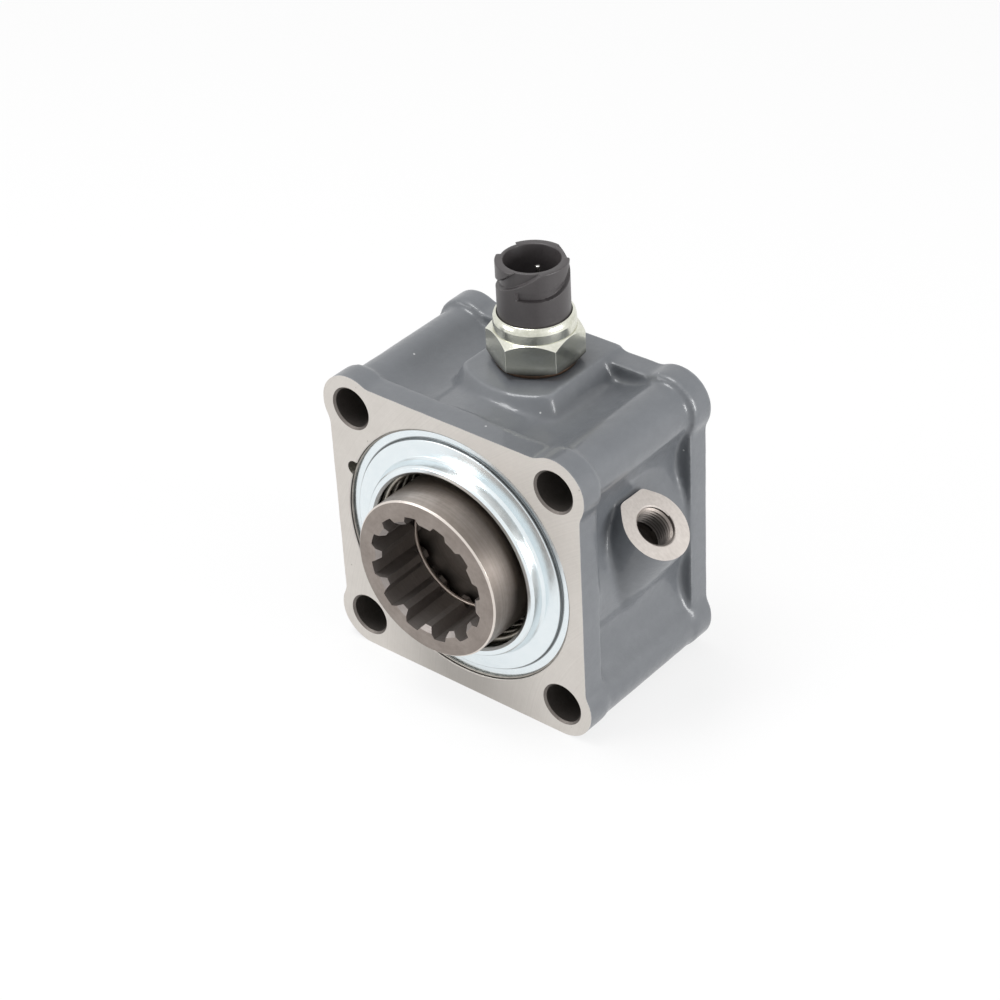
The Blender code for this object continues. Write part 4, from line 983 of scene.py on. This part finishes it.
def make_yellow_zinc(name, metallic, dull, bright):
    """Yellow passivated zinc: olive and straw clouds over a bright plate, darker at the pad, partly grime and
    partly painted shade.
    """
    material, tree, shader, place = new_material(name, metallic)
    cloud = use(tree, mottle, Vector=place, Size=0.005, Contrast=2.2)
    colour = mix_colours(tree, cloud["Value"], dull, bright)
    height = node(tree, "ShaderNodeSeparateXYZ", {0: place}).outputs["Z"]
    foot = shaft_z + hexagon_base
    # Darker towards the pad: partly grime and partly painted shade under the hexagon.
    grime_and_painted_shade = remap(tree, height, foot + 0.2 * MM, foot + 3 * MM, 0.95, 0.0)
    colour = mix_colours(tree, grime_and_painted_shade, colour, (0.05, 0.042, 0.035))
    coat(tree, shader, colour, remap(tree, cloud["Value"], 0.2, 0.8, 0.24, 0.15))
    bump(tree, shader, cloud["Height"], 0.00004)
    return material


yellow_zinc = make_yellow_zinc("yellow_zinc", 1.0, (0.6, 0.6, 0.5), (0.84, 0.84, 0.76))
# Lighter zinc for the hexagon's rounded corners: partly rubbed wear, partly painted highlight.
zinc_wear_and_corner_highlight = make_yellow_zinc("zinc_wear_and_corner_highlight", 0.4, (0.74, 0.74, 0.66), (0.86, 0.86, 0.8))
shade_crisp(switch_body, yellow_zinc, 12)
switch_body.data.materials.append(zinc_wear_and_corner_highlight)
# The narrow corner faces take the lighter zinc of wear and painted highlight.
largest_corner_face = 4 * MM * MM
for face in switch_body.data.polygons:
    if abs(face.normal.z) < 0.3 and face.area < largest_corner_face:
        face.material_index = 1
collar_inside = [(11.0, 63.02), (11.0, 64.5)]
collar_outside = [(11.72, 64.5), (11.62, 67.9), (11.8, 68.4), (12.2, 68.3), (12.6, 67.9), (12.95, 67.1),
                  (13.1, 66.1), (13.1, 63.02)]
collar_line = in_metres(collar_inside + rounded(collar_outside, 0.5))
collar = lathe("switch_crimp", collar_line, 144, ON_SWITCH)
shade_crisp(collar, yellow_zinc, 35)
for piece in (switch_body, collar):
    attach(piece, "housing")
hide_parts("switch_body")


def make_copper():
    """Soft copper, dulled brown."""
    return make_clouded("dull_copper", 1.0, 0.002, 2.0, (0.04, 0.032, 0.026), (0.12, 0.075, 0.05),
                        (0.5, 0.35))


washer_line = in_metres(rounded([(9.0, 51.1), (13.1, 51.1), (13.1, 52.2), (9.0, 52.2)], 0.25))
washer = lathe("copper_washer", washer_line, 96, ON_SWITCH)
shade(washer, make_copper(), 35)
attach(washer, "housing")
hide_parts("switch_washer")


# Socket of the switch
# Moulded in one piece from dark plastic: a round wall with three bayonet grooves. Each opens at the rim,
# winds down under the next stretch of rim and ends in a short level pocket.

rim_height = 86.3 * MM
socket_foot = 64.8 * MM
socket_wall_radius = 11.5 * MM
socket_floor = rim_height - 14 * MM
groove_floor_radius = 10.2 * MM
groove_drop = 9.1 * MM
groove_width = 2.9 * MM
groove_flare = 1.9 * MM
groove_blur = 0.3 * MM
end_blur = 1.6


def soft_step(value, edge, width):
    """Zero below the edge and one above it, with a smooth rise of that width."""
    t = min(1, max(0, (value - edge) / width + 0.5))
    return t * t * (3 - 2 * t)


def socket_radius(angle, height):
    """Outer radius at an angle and height. Each groove runs from 84 degrees down to -78."""
    cut = 0
    for turn in (0, 120, 240):
        local = (math.degrees(angle) - turn + 180) % 360 - 180
        share = min(1, (84 - local) / 125)
        if not -80 < local < 90:
            continue
        low = groove_drop * math.sin(share * math.pi / 2)
        high = low - groove_width - groove_flare * max(0, (local - 5) / 30)
        depth = rim_height - height
        under = soft_step(depth, high, groove_blur)
        mouth = soft_step(local, 36, end_blur)
        end = soft_step(local, -78, end_blur)
        cut = max(cut, (1 - soft_step(depth, low, groove_blur)) * max(under, mouth) * end)
    return socket_wall_radius - (socket_wall_radius - groove_floor_radius) * cut


def socket_mesh():
    steps = 360
    rows = 130
    top_round = 0.35 * MM
    cavity_radius = 8.95 * MM
    cavity_edge = [(cavity_radius + 0.4 * MM, rim_height), (cavity_radius + 0.1 * MM, rim_height - 0.1 * MM),
                   (cavity_radius, rim_height - 0.4 * MM)]
    rings = []
    for row in range(rows + 1):
        height = socket_foot + (rim_height - top_round - socket_foot) * row / rows
        rings.append([(socket_radius(2 * math.pi * i / steps, height), height) for i in range(steps)])
    top = rings[-1]
    for k in range(1, 4):
        inset = top_round * (1 - math.cos(k * math.pi / 6))
        lift = top_round * math.sin(k * math.pi / 6)
        rings.append([(radius - inset, height + lift) for radius, height in top])
    rings += [[point] * steps for point in cavity_edge + [(cavity_radius, socket_floor)]]
    shell = bmesh.new()
    add_loft(shell, [[ON_SWITCH @ around(radius, 2 * math.pi * i / steps, height)
                      for i, (radius, height) in enumerate(ring)] for ring in rings])
    return new_object("moulded_socket", shell)


def make_plastic():
    """Glass-filled nylon with a fine moulded grain."""
    material, tree, shader, place = new_material("dark_nylon")
    cloud = use(tree, mottle, Vector=place, Size=0.004, Contrast=1.5)
    colour = mix_colours(tree, cloud["Value"], (0.036, 0.032, 0.033), (0.055, 0.049, 0.05))
    coat(tree, shader, colour, remap(tree, cloud["Value"], 0.2, 0.8, 0.36, 0.48))
    grain = use(tree, mottle, Vector=place, Size=0.0005, Contrast=1.0)
    bump(tree, shader, grain["Height"], 0.00002)
    return material


socket = socket_mesh()
shade(socket, make_plastic(), 60)
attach(socket, "housing")
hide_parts("switch_connector")


def make_tinned():
    """Tinned contact, bright with faint drawing marks."""
    return make_clouded("tinned_contact", 1.0, 0.001, 1.5, (0.8, 0.79, 0.75), (0.93, 0.92, 0.89),
                        (0.25, 0.15))


pin_offset = Vector((-1.4 * MM, 4.3 * MM))
pin_foot = [(0, -2.6), (0.8, -2.6)]
pin_wall = [(0.8, -1), (0.8, 8.9), (0.1, 9)]
pin_line = in_metres(pin_foot + rounded(pin_wall, 0.4) + [(0, 9)])
tinned = make_tinned()
for number, side in ((1, 1), (2, -1)):
    x, y = pin_offset * side
    place = Matrix.Translation((x, y, socket_floor)) @ ON_SWITCH
    pin = lathe("contact_pin_%d" % number, pin_line, 32, place)
    shade(pin, tinned, 40)
    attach(pin, "housing")
    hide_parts("switch_pin_%d" % number)


# Floor and light
# A white table and a soft white room, as for a plain catalogue picture. Both look white to the camera
# and in mirrors, and light the unit less than that.

def seen_directly(tree):
    """One for rays from the camera, off mirrors and through glass, and zero for the rest."""
    rays = tree.nodes.new("ShaderNodeLightPath").outputs
    bent = maths(tree, "MAXIMUM", rays["Is Glossy Ray"], rays["Is Transmission Ray"])
    return maths(tree, "MAXIMUM", rays["Is Camera Ray"], bent)


floor_z = shaft_z - 51.5 * MM
table = bmesh.new()
bmesh.ops.create_grid(table, x_segments=1, y_segments=1, size=6, matrix=Matrix.Translation((0, 0, floor_z)))
floor = new_object("floor", table)
floor_white = bpy.data.materials.new("white_table")
floor_white.use_nodes = True
tree = floor_white.node_tree
matt = tree.nodes["Principled BSDF"]
matt.inputs["Base Color"].default_value = (0.8, 0.8, 0.8, 1)
matt.inputs["Roughness"].default_value = 0.6
glow = node(tree, "ShaderNodeEmission", {"Color": (1, 1, 1), "Strength": 1.0})
share = maths(tree, "MULTIPLY", seen_directly(tree), 0.8)
mixed = node(tree, "ShaderNodeMixShader", {0: share, 1: matt.outputs[0], 2: glow.outputs[0]})
tree.links.new(mixed.outputs[0], tree.nodes["Material Output"].inputs["Surface"])
floor.data.materials.append(floor_white)

room = bpy.data.worlds.new("white_room")
room.use_nodes = True
bpy.context.scene.world = room
tree = room.node_tree
strength = remap(tree, seen_directly(tree), 0.0, 1.0, 0.6, 1.0)
tree.links.new(strength, tree.nodes["Background"].inputs["Strength"])
tree.nodes["Background"].inputs["Color"].default_value = (1, 1, 1, 1)


def soft_box(name, place, size, power):
    lamp = bpy.data.lights.new(name, "AREA")
    lamp.shape = "RECTANGLE"
    lamp.size, lamp.size_y = size
    lamp.energy = power
    link_object(name, lamp).matrix_world = facing(place, Vector(place) - light_aim)


light_aim = Vector((0, 0, 0.05))
soft_box("overhead", (-0.2, -0.1, 1.0), (0.5, 0.4), 6)
soft_box("front_left", (-0.7, -0.9, 0.5), (0.6, 0.6), 4)
soft_box("low_right", (1.0, 0.15, 0.22), (0.5, 0.4), 7.5)


# Camera
# It stands to the front right and above, as the photograph was taken.

view_azimuth = math.radians(40.89)
view_elevation = math.radians(34.473)
view_roll = math.radians(-3.232)
view_distance = 837.88 * MM
view_target = Vector((1.968 * MM, 19.847 * MM, shaft_z + 11.062 * MM))
back = Vector((math.sin(view_azimuth) * math.cos(view_elevation),
               -math.cos(view_azimuth) * math.cos(view_elevation), math.sin(view_elevation)))
lens = bpy.data.cameras.new("camera")
lens.lens = 96.33
lens.sensor_width = 36
lens.clip_start = 0.05
lens.clip_end = 20
camera = link_object("camera", lens)
camera.matrix_world = (facing(view_target + back * view_distance, back)
                       @ Matrix.Rotation(view_roll, 4, "Z"))
bpy.context.scene.camera = camera
bpy.context.scene.view_settings.view_transform = "Standard"
